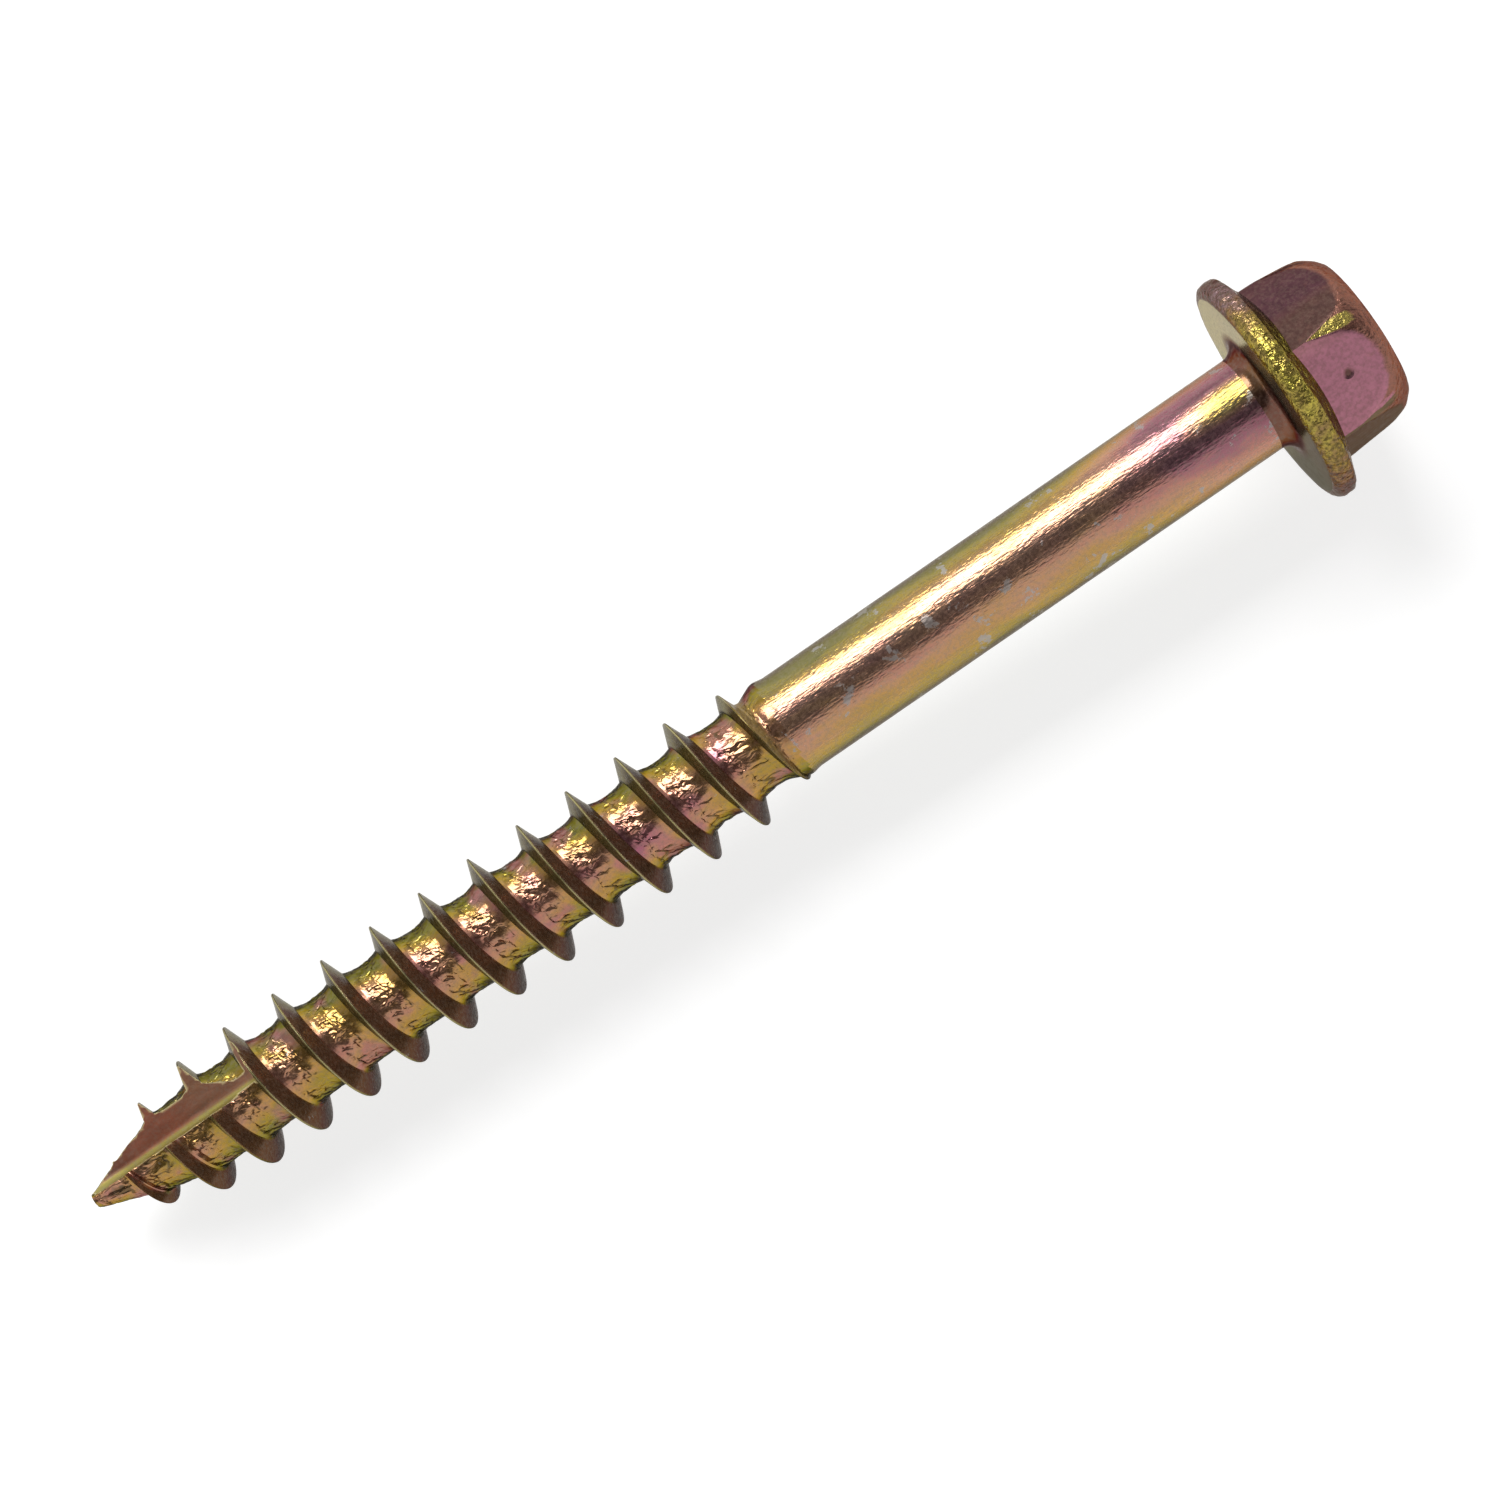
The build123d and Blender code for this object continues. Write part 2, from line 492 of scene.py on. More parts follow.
        # The tooth narrows as its height fades, so its rows close in on the crest there. The
        # rows half way between two crests stay where they are.
        crest = add(MATH, turn, given["Pitch"], given["Crest offset"], operation="MULTIPLY_ADD")
        narrow = self.outline(add, given, crest, self.height_points())
        narrow = add(MATH, narrow, self.least_width, operation="MAXIMUM")
        aside = add(MATH, share, 0.5, operation="SUBTRACT")
        far = add(MATH, aside, operation="ABSOLUTE")
        far = add(MATH, far, 2.0, operation="MULTIPLY")
        far = add(MATH, far, 4.0, operation="POWER")
        spread = add(MIX, far, {LOW: narrow, HIGH: 1.0})
        place = add(MATH, aside, spread, 0.5, operation="MULTIPLY_ADD")
        phase = add(MIX, place, {LOW: below, HIGH: above})
        # The plain pitch up to the closing turn, then the closer one of the point.
        past = add(MATH, phase, given["Closing turn"], operation="SUBTRACT")
        station = given["Closing station"]
        for pitch, limit in (("Pitch", "MINIMUM"), ("Point pitch", "MAXIMUM")):
            turns = add(MATH, past, 0.0, operation=limit)
            station = add(MATH, turns, given[pitch], station, operation="MULTIPLY_ADD")
        return phase, station

    def ridge(self, add: Add, given: Sockets, station: Feed, share: Feed) -> tuple[Feed, Feed]:
        """Adds the radius: the tooth over the core, or shank and shoulder where they are higher.

        Args:
            add: adds a node to the tree.
            given: the tree's inputs.
            station: the point's station.
            share: the share of the pitch at which its row stands.

        Returns:
            The radius, and how far up the full tooth it is.
        """
        blank = self.outline(add, given, station, self.core_points(), self.crest_radius)
        blank = add(MATH, blank, given["Crest radius"], operation="MULTIPLY")
        core = add(MATH, blank, given["Root radius"], operation="MINIMUM")
        tooth = add(CURVE, {"Value": share}, points=self.tooth_points())
        tall = self.outline(add, given, station, self.height_points())
        height = add(MATH, given["Crest radius"], given["Root radius"], operation="SUBTRACT")
        height = add(MATH, tall, height, operation="MULTIPLY")
        radius = add(MATH, tooth, height, core, operation="MULTIPLY_ADD")
        radius = add(MATH, radius, blank, operation="MAXIMUM")
        return radius, add(MATH, tooth, tall, operation="MULTIPLY")

    def laps(
        self, add: Add, given: Sockets, helix: tuple[Feed, Feed], aim: tuple[Feed, Feed], side: Feed
    ) -> tuple[Feed, Feed]:
        """Adds the laps that the dies fold into the root, alike from turn to turn.

        Args:
            add: adds a node to the tree.
            given: the tree's inputs.
            helix: the point's place along the helix, as turn and station.
            aim: the point's direction from the axis, up and sideways.
            side: how far across the root the point stands.

        Returns:
            How far down the point goes as a share from 0 to -1, and the full depth there.
        """
        phase, station = helix
        drift = add(MATH, phase, self.lap_drift, side, operation="MULTIPLY_ADD")
        reach = (self.root_radius, self.root_radius, self.pitch / 2)
        lap = add(VECTOR_MATH, add(COMBINE, *aim, drift), reach, operation="MULTIPLY")
        lap = add(NOISE, {"Vector": lap, "Scale": 1 / self.lap_size, "Detail": 2.0})
        lap = add(MAP_RANGE, lap, *self.lap_span, -1.0, 0.0)
        depth = add(MATH, side, operation="ABSOLUTE")
        depth = add(MAP_RANGE, depth, *self.lap_reach)
        begun = add(MAP_RANGE, station, *self.lap_stations)
        for factor in (begun, given["Lap depth"]):
            depth = add(MATH, depth, factor, operation="MULTIPLY")
        return lap, depth

    def tree(self) -> bpy.types.NodeTree:
        """Builds the node tree that rolls the thread onto the forged blank.

        Returns:
            The tree, with its sizes as named inputs.
        """
        tree = bpy.data.node_groups.new("rolled_thread", "GeometryNodeTree")
        tree.interface.new_socket("Geometry", in_out="OUTPUT", socket_type="NodeSocketGeometry")
        kinds = {"Blank": "Geometry"} | dict.fromkeys(self.inputs(), "Float")
        kinds |= {"Shank finish": "Material", "Thread finish": "Material"}
        for name, kind in kinds.items():
            tree.interface.new_socket(name, in_out="INPUT", socket_type=f"NodeSocket{kind}")
        add = partial(add_node, tree)
        given = add("NodeGroupInput").outputs

        # A flat strip, a pitch wide and a column per share of a turn. It has a column more than
        # steps, and half a one against rounding down.
        turns = add(MATH, given["Last turn"], given["First turn"], operation="SUBTRACT")
        turns = add(MATH, turns, 1.0, operation="ADD")
        columns = add(MATH, turns, given["Columns"], 1.5, operation="MULTIPLY_ADD")
        strip = add("GeometryNodeMeshGrid", 1.0, 1.0, columns, self.rows + 1)
        spot = add("GeometryNodeInputPosition")
        spot = add(SEPARATE, add(VECTOR_MATH, spot, (0.5, 0.5, 0.0), operation="ADD")).outputs
        begin = add(MATH, given["First turn"], 0.5, operation="SUBTRACT")
        turn = add(MATH, spot["X"], turns, begin, operation="MULTIPLY_ADD")
        share = add(CURVE, {"Value": spot["Y"]}, points=self.row_points())
        phase, station = self.helix(add, given, turn, share)
        radius, rise = self.ridge(add, given, station, share)

        # How far across the root a point stands: 0 half way between two crests, 1 at the crest
        # on the side that faces the point and -1 on the side that faces the head.
        near = add(MATH, share, -2.0, operation="MULTIPLY")
        away = add(MATH, share, -2.0, 2.0, operation="MULTIPLY_ADD")
        later = add(MATH, share, 0.5, operation="GREATER_THAN")
        side = add(MIX, later, {LOW: near, HIGH: away})

        angle = add(MATH, turn, 2 * math.pi, operation="MULTIPLY")
        aim = tuple(add(MATH, angle, operation=name) for name in ("COSINE", "SINE"))
        lap, depth = self.laps(add, given, (phase, station), aim, side)
        radius = add(MATH, lap, depth, radius, operation="MULTIPLY_ADD")
        spot = add(COMBINE, *(add(MATH, way, radius, operation="MULTIPLY") for way in aim), station)

        # The finish reads where the tooth stands. Faces of the strip are told apart from the
        # blank's: 1 on the shank, 2 on the thread.
        rolled = add(MAP_RANGE, station, *self.mark_stations)
        rise = add(MATH, rise, rolled, operation="MULTIPLY")
        side = add(MATH, side, rolled, operation="MULTIPLY")
        part = add(MATH, station, given["Thread start"], operation="GREATER_THAN")
        part = add(MATH, part, 1.0, operation="ADD")
        marks = {"rise": rise, "side": side, "rolled": rolled, "strip": part}
        for name, value in marks.items():
            domain = "FACE" if name == "strip" else "POINT"
            feeds = {"Name": name, "Value": value}
            strip = add("GeometryNodeStoreNamedAttribute", strip, feeds, domain=domain)
        strip = add("GeometryNodeSetPosition", strip, {"Position": spot})
        whole = add("GeometryNodeJoinGeometry", strip)
        tree.links.new(given["Blank"], whole.inputs[0])
        whole = add("GeometryNodeMergeByDistance", whole, {"Distance": given["Seam"]})
        whole = add("GeometryNodeRealizeInstances", whole)
        part = add("GeometryNodeInputNamedAttribute", "strip", data_type="FLOAT")
        for name, least in (("Shank finish", 0.5), ("Thread finish", 1.5)):
            chosen = add(MATH, part, least, operation="GREATER_THAN")
            feeds = {"Selection": chosen, "Material": given[name]}
            whole = add("GeometryNodeSetMaterial", whole, feeds)
        add("NodeGroupOutput", whole)
        return tree

    def roll(self, blank: bpy.types.Mesh, finishes: Finishes) -> bpy.types.Mesh:
        """Rolls the thread onto the blank.

        Args:
            blank: the forged head and plain shank.
            finishes: the material of each zone.

        Returns:
            A plain mesh in millimetres.
        """
        holder = stand("rolling", blank)
        rolling = holder.modifiers.new("rolling", "NODES")
        rolling.node_group = self.tree()
        values: dict[str, Any] = {
            **self.inputs(),
            "Shank finish": finishes[Zone.SHANK],
            "Thread finish": finishes[Zone.THREAD],
        }
        for item in rolling.node_group.interface.items_tree:
            if item.name in values:
                rolling[item.identifier] = values[item.name]
        return shaped(holder, rolling)


@dataclass
class ForgedHead:
    """The hexagon, its crown and flange, the neck and the plain shank."""

    columns: int
    end_station: float
    shank_radius: float = 3.71
    flat_radius: float = 6.4
    hexagon_turn: float = 10.3
    draft: float = 1.2
    head_height: float = 8.3
    corner_trim_height: float = 3.5
    corner_trim: float = 0.34
    crown_height: float = 6.0
    crown_radius: float = 5.4
    crown_bulge: float = 0.24
    crown_blend: float = 0.16
    flange_radius: float = 8.95
    flange_thickness: float = 1.65
    flange_rise: float = 0.9
    face_rounding: float = 0.8
    back_rounding: float = 0.45
    neck_rounding: float = 1.15
    crown_rows: int = 7
    flat_rows: int = 14
    cone_rows: int = 5
    back_rows: int = 6
    face_rows: int = 8
    seat_rows: int = 6
    neck_rows: int = 8
    shank_rows: int = 52
    # The trimmed corner, by degrees from a flat's middle and by height over the crown's edge,
    # and the crown, from below to above its meeting with a flat.
    wedge_angles: tuple[float, float] = (24.8, 28.4)
    wedge_heights: tuple[float, float] = (0.5, 1.4)
    crown_span: tuple[float, float] = (-0.45, 0.2)
    crown_wear: float = 0.03
    wedge_wear: float = 0.08
    long_waves: float = 0.7  # per millimetre
    short_waves: float = 2.0
    sunk: float = 0.4  # share of the unevenness by which the surface lies deeper

    def side(self, station: float, corner: float) -> float:
        """Radius of the drafted flats at a station and an angle from a flat's middle."""
        climb = -station - self.flange_thickness / 2
        return (self.flat_radius - climb * math.tan(math.radians(self.draft))) / math.cos(corner)

    def turned(self) -> Outline:
        """The turned outline that trims corners and crown.

        Returns:
            Pairs of station and radius.
        """
        lean = math.tan(math.radians(self.draft))
        corner = self.flat_radius / math.cos(math.radians(30))
        trim = corner - (self.corner_trim_height - self.flange_thickness / 2) * lean
        crown = corner - (self.crown_height - self.flange_thickness / 2) * lean - self.corner_trim
        edge = Vector((-self.crown_height, crown))
        chord = Vector((-self.head_height, self.crown_radius)) - edge
        out = Vector((chord.y, -chord.x)).normalized()
        if out.y < 0:
            out = -out
        points = []
        for share in shares(8, 0):
            bulge = out * self.crown_bulge * 4 * share * (1 - share)
            points.append(tuple(edge + chord * (1 - share) + bulge))
        return points + [(-self.corner_trim_height, trim)]

    def crossing(self, corner: float, turned: Outline) -> float:
        """The station where a flat runs into the turned outline, by halving.

        Args:
            corner: angle from the nearest flat's middle, in radians.
            turned: the turned outline.

        Returns:
            The station.
        """
        low, high = turned[0][0], turned[-1][0]
        for _ in range(24):
            middle = (low + high) / 2
            if between(middle, turned) < self.side(middle, corner):
                low = middle
            else:
                high = middle
        return high

    def flank(self, station: float, corner: float, turned: Outline) -> float:
        """Radius of the head's side, with the meeting of flat and crown rounded.

        Args:
            station: where along the screw.
            corner: angle from the nearest flat's middle, in radians.
            turned: the turned outline.

        Returns:
            The radius in millimetres.
        """
        flat = self.side(station, corner)
        if station >= turned[-1][0]:
            return flat
        crown = between(station, turned)
        near = max(self.crown_blend - abs(flat - crown), 0) / self.crown_blend
        return min(flat, crown) - near * near * self.crown_blend / 4

    def foot(self, corner: float) -> float:
        """The station where a flat meets the flange's cone, closed in on step by step.

        Args:
            corner: angle from the nearest flat's middle, in radians.

        Returns:
            The station.
        """
        foot = -self.flange_thickness
        for _ in range(12):
            reach = self.flange_radius - self.side(foot, corner)
            share = reach / (self.flange_radius - self.flat_radius)
            foot = -self.flange_thickness - self.flange_rise * share
        return foot

    def column(self, angle: float) -> list[tuple[float, float, Zone, float, float]]:
        """The head's outline at an angle, from the crown's middle to the shank's end.

        Args:
            angle: degrees about the axis.

        Returns:
            Radius, station and zone of each row, and how far it belongs to the crown and to the
            trimmed corner.
        """
        corner = math.radians((angle - self.hexagon_turn) % 60 - 30)
        turned = self.turned()
        crossing, foot = self.crossing(corner, turned), self.foot(corner)
        top, back = -self.head_height, -self.flange_thickness
        quarter = math.pi / 2

        spots = [(self.crown_radius * share, top, Zone.HEAD) for share in shares(self.crown_rows)]
        for start, end in ((top, crossing), (crossing, foot)):
            for share in shares(self.flat_rows):
                station = start + (end - start) * share
                spots.append((self.flank(station, corner, turned), station, Zone.HEAD))
        foot_radius = self.side(foot, corner)
        edge = self.flange_radius - self.back_rounding
        for share in shares(self.cone_rows):
            radius = foot_radius + (edge - foot_radius) * share
            spots.append((radius, foot + (back - foot) * share, Zone.RIM))
        for share in shares(self.back_rows):
            radius = edge + self.back_rounding * math.sin(quarter * share)
            station = back + self.back_rounding * (1 - math.cos(quarter * share))
            spots.append((radius, station, Zone.RIM))
        middle = (self.back_rounding - self.flange_thickness - self.face_rounding) / 2
        spots.append((self.flange_radius, middle, Zone.RIM))
        for share in shares(self.face_rows, 0):
            radius = self.flange_radius - self.face_rounding * (1 - math.cos(quarter * share))
            station = -self.face_rounding * (1 - math.sin(quarter * share))
            spots.append((radius, station, Zone.RIM))
        edge, neck = self.flange_radius - self.face_rounding, self.shank_radius + self.neck_rounding
        for share in shares(self.seat_rows):
            spots.append((edge + (neck - edge) * share, 0.0, Zone.SEAT))
        for share in shares(self.neck_rows):
            radius = neck - self.neck_rounding * math.sin(quarter * share)
            spots.append((radius, self.neck_rounding * (1 - math.cos(quarter * share)), Zone.SEAT))
        run = self.end_station - self.neck_rounding
        for share in shares(self.shank_rows):
            spots.append((self.shank_radius, self.neck_rounding + run * share, Zone.SHANK))

        near = smooth(abs(math.degrees(corner)), *self.wedge_angles)
        low, high = (self.crown_height + rise for rise in self.wedge_heights)
        rows = []
        for radius, station, zone in spots:
            over = smooth(crossing - station, *self.crown_span) if zone is Zone.HEAD else 0.0
            wedge = near * (1 - smooth(-station, low, high)) * over
            rows.append((radius, station, zone, over - wedge, wedge))
        return rows

    def worn(self, spot: Vector, zone: Zone, crown: float, wedge: float) -> Vector:
        """Moves a point by what forging and handling have left uneven.

        Args:
            spot: the point in the screw's axes.
            zone: the part of the surface.
            crown: how far it belongs to the crown.
            wedge: how far it belongs to a trimmed corner.

        Returns:
            The point in its worn place.
        """
        coarse, fine = UNEVEN[zone]
        coarse += self.crown_wear * crown
        fine += self.crown_wear * crown + self.wedge_wear * wedge
        lift = noise.noise(spot * self.long_waves) * coarse
        lift += noise.noise(spot * self.short_waves) * fine
        lift -= (coarse + fine) * self.sunk
        return spot + Vector((spot.x, spot.y, 0)).normalized() * lift

    def build(self, finishes: Finishes) -> bpy.types.Mesh:
        """Forges the head.

        Args:
            finishes: the material of each zone.

        Returns:
            A plain mesh in millimetres, open at the end of the shank.
        """
        shape = bmesh.new()
        crowned = shape.verts.layers.float.new("crown")
        wedged = shape.verts.layers.float.new("wedge")
        rings = []
        for number in range(self.columns):
            angle = self.hexagon_turn + number * 360 / self.columns
            turn = math.radians(angle)
            rows = self.column(angle)
            ring = []
            for row in rows:
                radius, station, zone, crown, wedge = row
                spot = Vector((radius * math.cos(turn), radius * math.sin(turn), station))
                # The last row meets the strip of the thread, which isn't worn.
                if row is not rows[-1]:
                    spot = self.worn(spot, zone, crown, wedge)
                vert = shape.verts.new(spot)
                vert[crowned], vert[wedged] = crown, wedge
                ring.append(vert)
            rings.append(ring)
        zones = [zone.value for _, _, zone, _, _ in rows]
        pole = shape.verts.new((0, 0, -self.head_height))
        pole[crowned] = 1.0
        for ring, following in zip(rings, rings[1:] + rings[:1]):
            shape.faces.new((pole, following[0], ring[0])).material_index = zones[0]
            for row in range(len(ring) - 1):
                corners = (ring[row], following[row], following[row + 1], ring[row + 1])
                shape.faces.new(corners).material_index = zones[row + 1]
        mesh = plain_mesh("forged_blank", shape)
        for zone in Zone:
            mesh.materials.append(finishes[zone])
        return mesh


@dataclass
class CuttingPoint:
    """The notch milled out of the point: its wall carries the edge that cuts the pilot hole."""

    length: float = 100.15
    overrun: float = 1.0
    edge_height: float = 0.35
    end_station: float = 84.9
    end_rounding: float = 0.5
    climb_angle: float = 14.5
    root_radius: float = 3.2
    bend_radius: float = 8.0
    corner_radius: float = 0.8
    clear: float = 6.2
    lid: float = 0.5
    end_gap: float = 0.4
    run_rows: int = 24
    bend_rows: int = 8
    climb_rows: int = 36
    wall_rows: int = 8
    corner_rows: int = 8
    floor_rows: int = 24
    chatter: float = 0.05
    chatter_scale: tuple[float, float, float] = (1.2, 2.6, 0.22)  # per millimetre
    wave_scale: float = 0.9
    wave_seat: tuple[float, float] = (7.0, 3.0)
    burr: float = 0.9
    hollow_span: tuple[float, float] = (0.32, 0.58)

    def path(self) -> Outline:
        """The cutter's way from past the blunt end up to the notch's end.

        Returns:
            Pairs of station and of the floor's height over the axis.
        """
        slope = math.tan(math.radians(self.climb_angle))
        climb_start = self.end_station + self.root_radius / slope
        bend = self.bend_radius * math.tan(math.radians(self.climb_angle / 2))
        start, bend_start = self.length + self.overrun, climb_start + bend
        run = bend_start - start
        points = [(start + run * share, 0.0) for share in shares(self.run_rows, 0)[:-1]]
        for share in shares(self.bend_rows, 0)[:-1]:
            angle = math.radians(self.climb_angle * share)
            station = bend_start - self.bend_radius * math.sin(angle)
            points.append((station, self.bend_radius * (1 - math.cos(angle))))
        low = climb_start - bend * math.cos(math.radians(self.climb_angle))
        for share in shares(self.climb_rows, 0):
            station = low + (self.end_station + self.end_rounding - low) * share
            points.append((station, (climb_start - station) * slope))
        foot = points[-1][1]
        for ahead, lift in ((0.3, 0.5), (0.0, 1.3)):
            station = self.end_station + ahead * self.end_rounding
            points.append((station, foot + lift * self.end_rounding))
        return points + [(self.end_station, self.clear - self.end_gap)]

    def section(self, floor: float) -> Outline:
        """The cutter's section, from the wall round the corner to the floor.

        Args:
            floor: the floor's height over the axis.

        Returns:
            Pairs of height and sideways reach.
        """
        top, foot = self.clear + self.lid, floor + self.corner_radius
        wall = shares(self.wall_rows, 0)
        points = [(top + (foot - top) * share, self.edge_height) for share in wall]
        for share in shares(self.corner_rows):
            turn = math.pi / 2 * share
            height = floor + self.corner_radius * (1 - math.sin(turn))
            points.append((height, self.edge_height + self.corner_radius * (1 - math.cos(turn))))
        start = self.edge_height + self.corner_radius
        for share in shares(self.floor_rows):
            points.append((floor, start + (self.clear - start) * share))
        return points + [(top, self.clear)]

    def build(self, finish: bpy.types.Material) -> bpy.types.Mesh:
        """Shapes the cutter, with the chatter that it leaves on the notch.

        Args:
            finish: the material of the milled faces.

        Returns:
            A closed mesh in millimetres.
        """
        shape = bmesh.new()
        rings = []
        up, aside, along = self.chatter_scale
        for station, floor in self.path():
            wave = noise.noise(Vector((*self.wave_seat, station * self.wave_scale))) * self.chatter
            ring = []
            for height, reach in self.section(floor):
                place = (height * up, reach * aside, station * along)
                grain = noise.noise(Vector(place)) * self.chatter
                ring.append(shape.verts.new((height + grain, reach + wave, station)))
            rings.append(ring)
        for near, far in zip(rings, rings[1:]):
            for place in range(len(near)):
                after = (place + 1) % len(near)
                shape.faces.new((near[place], near[after], far[after], far[place]))
        shape.faces.new(rings[0])
        shape.faces.new(rings[-1])
        mesh = plain_mesh("notch_cutter", shape)
        mesh.materials.append(finish)
        return mesh


@dataclass(frozen=True)
class Spot:
    """Where a point of the surface stands on the screw, for the nodes of a finish.

    Attributes:
        place: its place in millimetres.
        axes: that place by axis.
        across: that place flattened onto a plane across the axis.
        lean: its direction from the axis, by axis.
        side: how far across the thread's root it stands.
    """

    place: bpy.types.Node
    axes: Sockets
    across: bpy.types.Node
    lean: Sockets
    side: Socket

    @classmethod
    def of(cls, add: Add, place: Place) -> "Spot":
        """Adds the screw's own axes in millimetres.

        Args:
            add: adds a node to the material.
            place: where those axes stand.

        Returns:
            The place on the screw.
        """
        inverse = place.matrix().inverted()
        known = {
            "Vector": add("ShaderNodeTexCoord").outputs["Object"],
            "Location": inverse.translation,
            "Rotation": inverse.to_euler(),
            "Scale": inverse.to_scale(),
        }
        spot = add("ShaderNodeMapping", known)
        axes = add(SEPARATE, spot).outputs
        across = add(COMBINE, axes["X"], axes["Y"], 0.0)
        lean = add(SEPARATE, add(VECTOR_MATH, across, operation="NORMALIZE")).outputs
        side = add(ATTRIBUTE, attribute_name="side").outputs["Fac"]
        return cls(spot, axes, across, lean, side)


@dataclass
class Dressing:
    """What lies over the film in one zone.

    Attributes:
        coats: pairs of share and shade, from the lowest one up. A shade is a hex colour or a
            socket.
        dull: how dull they are.
        raised: how high they stand in millimetres.
    """

    coats: list[tuple[Feed, Any]] = field(default_factory=list)
    dull: Feed = 0.0
    raised: Feed = 0.0


@dataclass(frozen=True)
class ZincPassivate:
    """Yellow chromate passivate over zinc plate.

    The film is thinner and thicker from place to place, so the metal shimmers from pink through
    salmon and gold to olive, as oil on water does. Its colours by the turn from straight up are
    partly painted: a painted shift of the film's reflected colour as it is seen more aslant, and
    painted shade on the sides. Zinc is a metal, so its index of refraction stays the default one.
    Lengths are millimetres.
    """

    name: str
    # Colours by thickness. The thickest end is darkened as painted shade for the sides.
    film_and_painted_shade: tuple[tuple[float, str], ...] = (
        (0.0, "733f4c"),
        (0.15, "99606c"),
        (0.3, "b57a6c"),
        (0.45, "bb8a6a"),
        (0.6, "b98e4f"),
        (0.75, "a88b3b"),
        (0.9, "92843a"),
        (1.0, "757038"),
    )
    # How thick the film is, from 0 to 1, and what makes it thicker or thinner: the turn from
    # straight up, the upper side past a station, the thread's root, the neck and the point. The
    # turn from straight up is partly painted light: it paints the shift of the film's reflected
    # colour as the film is seen more aslant, and where it thickens the film it carries the sides to
    # the film's dark end as painted shade.
    order: float = 0.4
    by_lean: float = 0.8
    by_aside: float = 0.2
    aside_lean: tuple[float, float] = (0.46, 0.7)
    aside_from: float = 8.0
    aside_run: float = 12.0
    aside_start: float = -1.2
    by_side: float = 0.0
    head_tint: float = 0.36
    head_reach: tuple[float, float] = (1.0, 17.0)
    point_tint: float = 0.0
    point_reach: tuple[float, float] = (50.0, 72.0)
    # Near the neck, gold painted into the band where the lamp's highlight falls: a painted
    # highlight.
    gold_tint: float = 2.0
    gold_reach: tuple[float, float] = (7.0, 3.0)
    gold_lean: float = 0.33
    gold_band: tuple[float, float] = (0.36, 0.15)
    wander: float = 0.35
    patch: float = 2.5
    stretch: float = 1.0
    # The metal and the haze over it.
    metallic: float = 0.92
    edge_tint: str | None = "8f7c60"
    coat: float = 0.7
    haze: float = 0.45
    roughness: float = 0.2
    uneven: float = 0.12
    uneven_span: tuple[float, float] = (0.35, 0.65)
    dull_metal: float = -0.8
    dull_rough: float = 0.2
    # Real drawing marks and grain are finer. They are drawn as coarse as they need to show.
    grain: float = 0.16
    grain_depth: float = 0.006
    streak: float = 0.5
    streak_depth: float = 0.012
    # Matt grey scuffs where the film is rubbed through to the zinc, from 0 for none.
    scuffs: float = 0.0
    scuff_size: float = 2.2222
    scuff_detail: float = 0.72
    scuff_level: float = 0.72
    scuff_gain: float = 0.2
    scuff_edge: float = 0.03
    scuff_colour: str = "a3a09e"
    scuff_cover: float = 0.75
    scuff_rough: float = 0.25
    # Dull flecks, too small to shape.
    specks: float = 0.28
    speck_size: float = 0.25
    speck_span: tuple[float, float] = (0.42, 0.66)
    speck_colour: str = "857b70"
    speck_metal: float = -0.55

    def film_colour_and_painted_light(self, add: Add, spot: Spot, drawn: Feed) -> Socket:
        """Adds the colour of the film by how thick it is, with painted shade at the sides and a
        painted highlight near the neck.

        Args:
            add: adds a node to the material.
            spot: the place on the screw.
            drawn: that place, squeezed along the screw as the patches are stretched.

        Returns:
            The colour.
        """
        along, up, aside = spot.axes["Z"], spot.lean["X"], spot.lean["Y"]
        # The turn from straight up gives a painted shift of the film's reflected colour, and
        # painted shade at the sides.
        lean = add(MATH, 1.0, up, operation="SUBTRACT", use_clamp=True)
        upper = add(MAP_RANGE, aside, *self.aside_lean, 0.0, self.by_aside)
        aside_end = self.aside_from + self.aside_run
        lower = add(MAP_RANGE, along, self.aside_from, aside_end, self.aside_start)
        head = add(
            MAP_RANGE,
            along,
            *self.head_reach,
            -self.head_tint,
            0.0,
            interpolation_type="SMOOTHSTEP",
        )
        point = add(MAP_RANGE, along, *self.point_reach, 0.0, self.point_tint)
        # Close to the neck the upper side is gold, in the band where the lamp's highlight falls: a
        # painted highlight.
        gold_and_highlight = add(MAP_RANGE, along, *self.gold_reach, 0.0, self.gold_tint * self.head_tint)
        band = add(MATH, aside, self.gold_lean, operation="SUBTRACT")
        band = add(MAP_RANGE, add(MATH, band, operation="ABSOLUTE"), *self.gold_band)
        cloud = {"Vector": drawn, "Scale": 1 / self.patch, "Detail": 4.0, "Roughness": 0.6}
        cloud = add(MATH, add(NOISE, cloud), 0.5, operation="SUBTRACT")
        thick = self.order
        for part, weight in (
            (lean, self.by_lean),
            (upper, lower),
            (spot.side, self.by_side),
            (head, 1.0),
            (point, 1.0),
            (gold_and_highlight, band),
            (cloud, self.wander),
        ):
            thick = add(MATH, part, weight, thick, operation="MULTIPLY_ADD")
        stops = [(place, linear(colour)) for place, colour in self.film_and_painted_shade]
        return add(RAMP, thick, points=stops).outputs["Color"]

    def dressed(self, add: Add, spot: Spot) -> Dressing:
        """Adds what lies over the film in one zone. Plain zones have nothing there."""
        return Dressing()

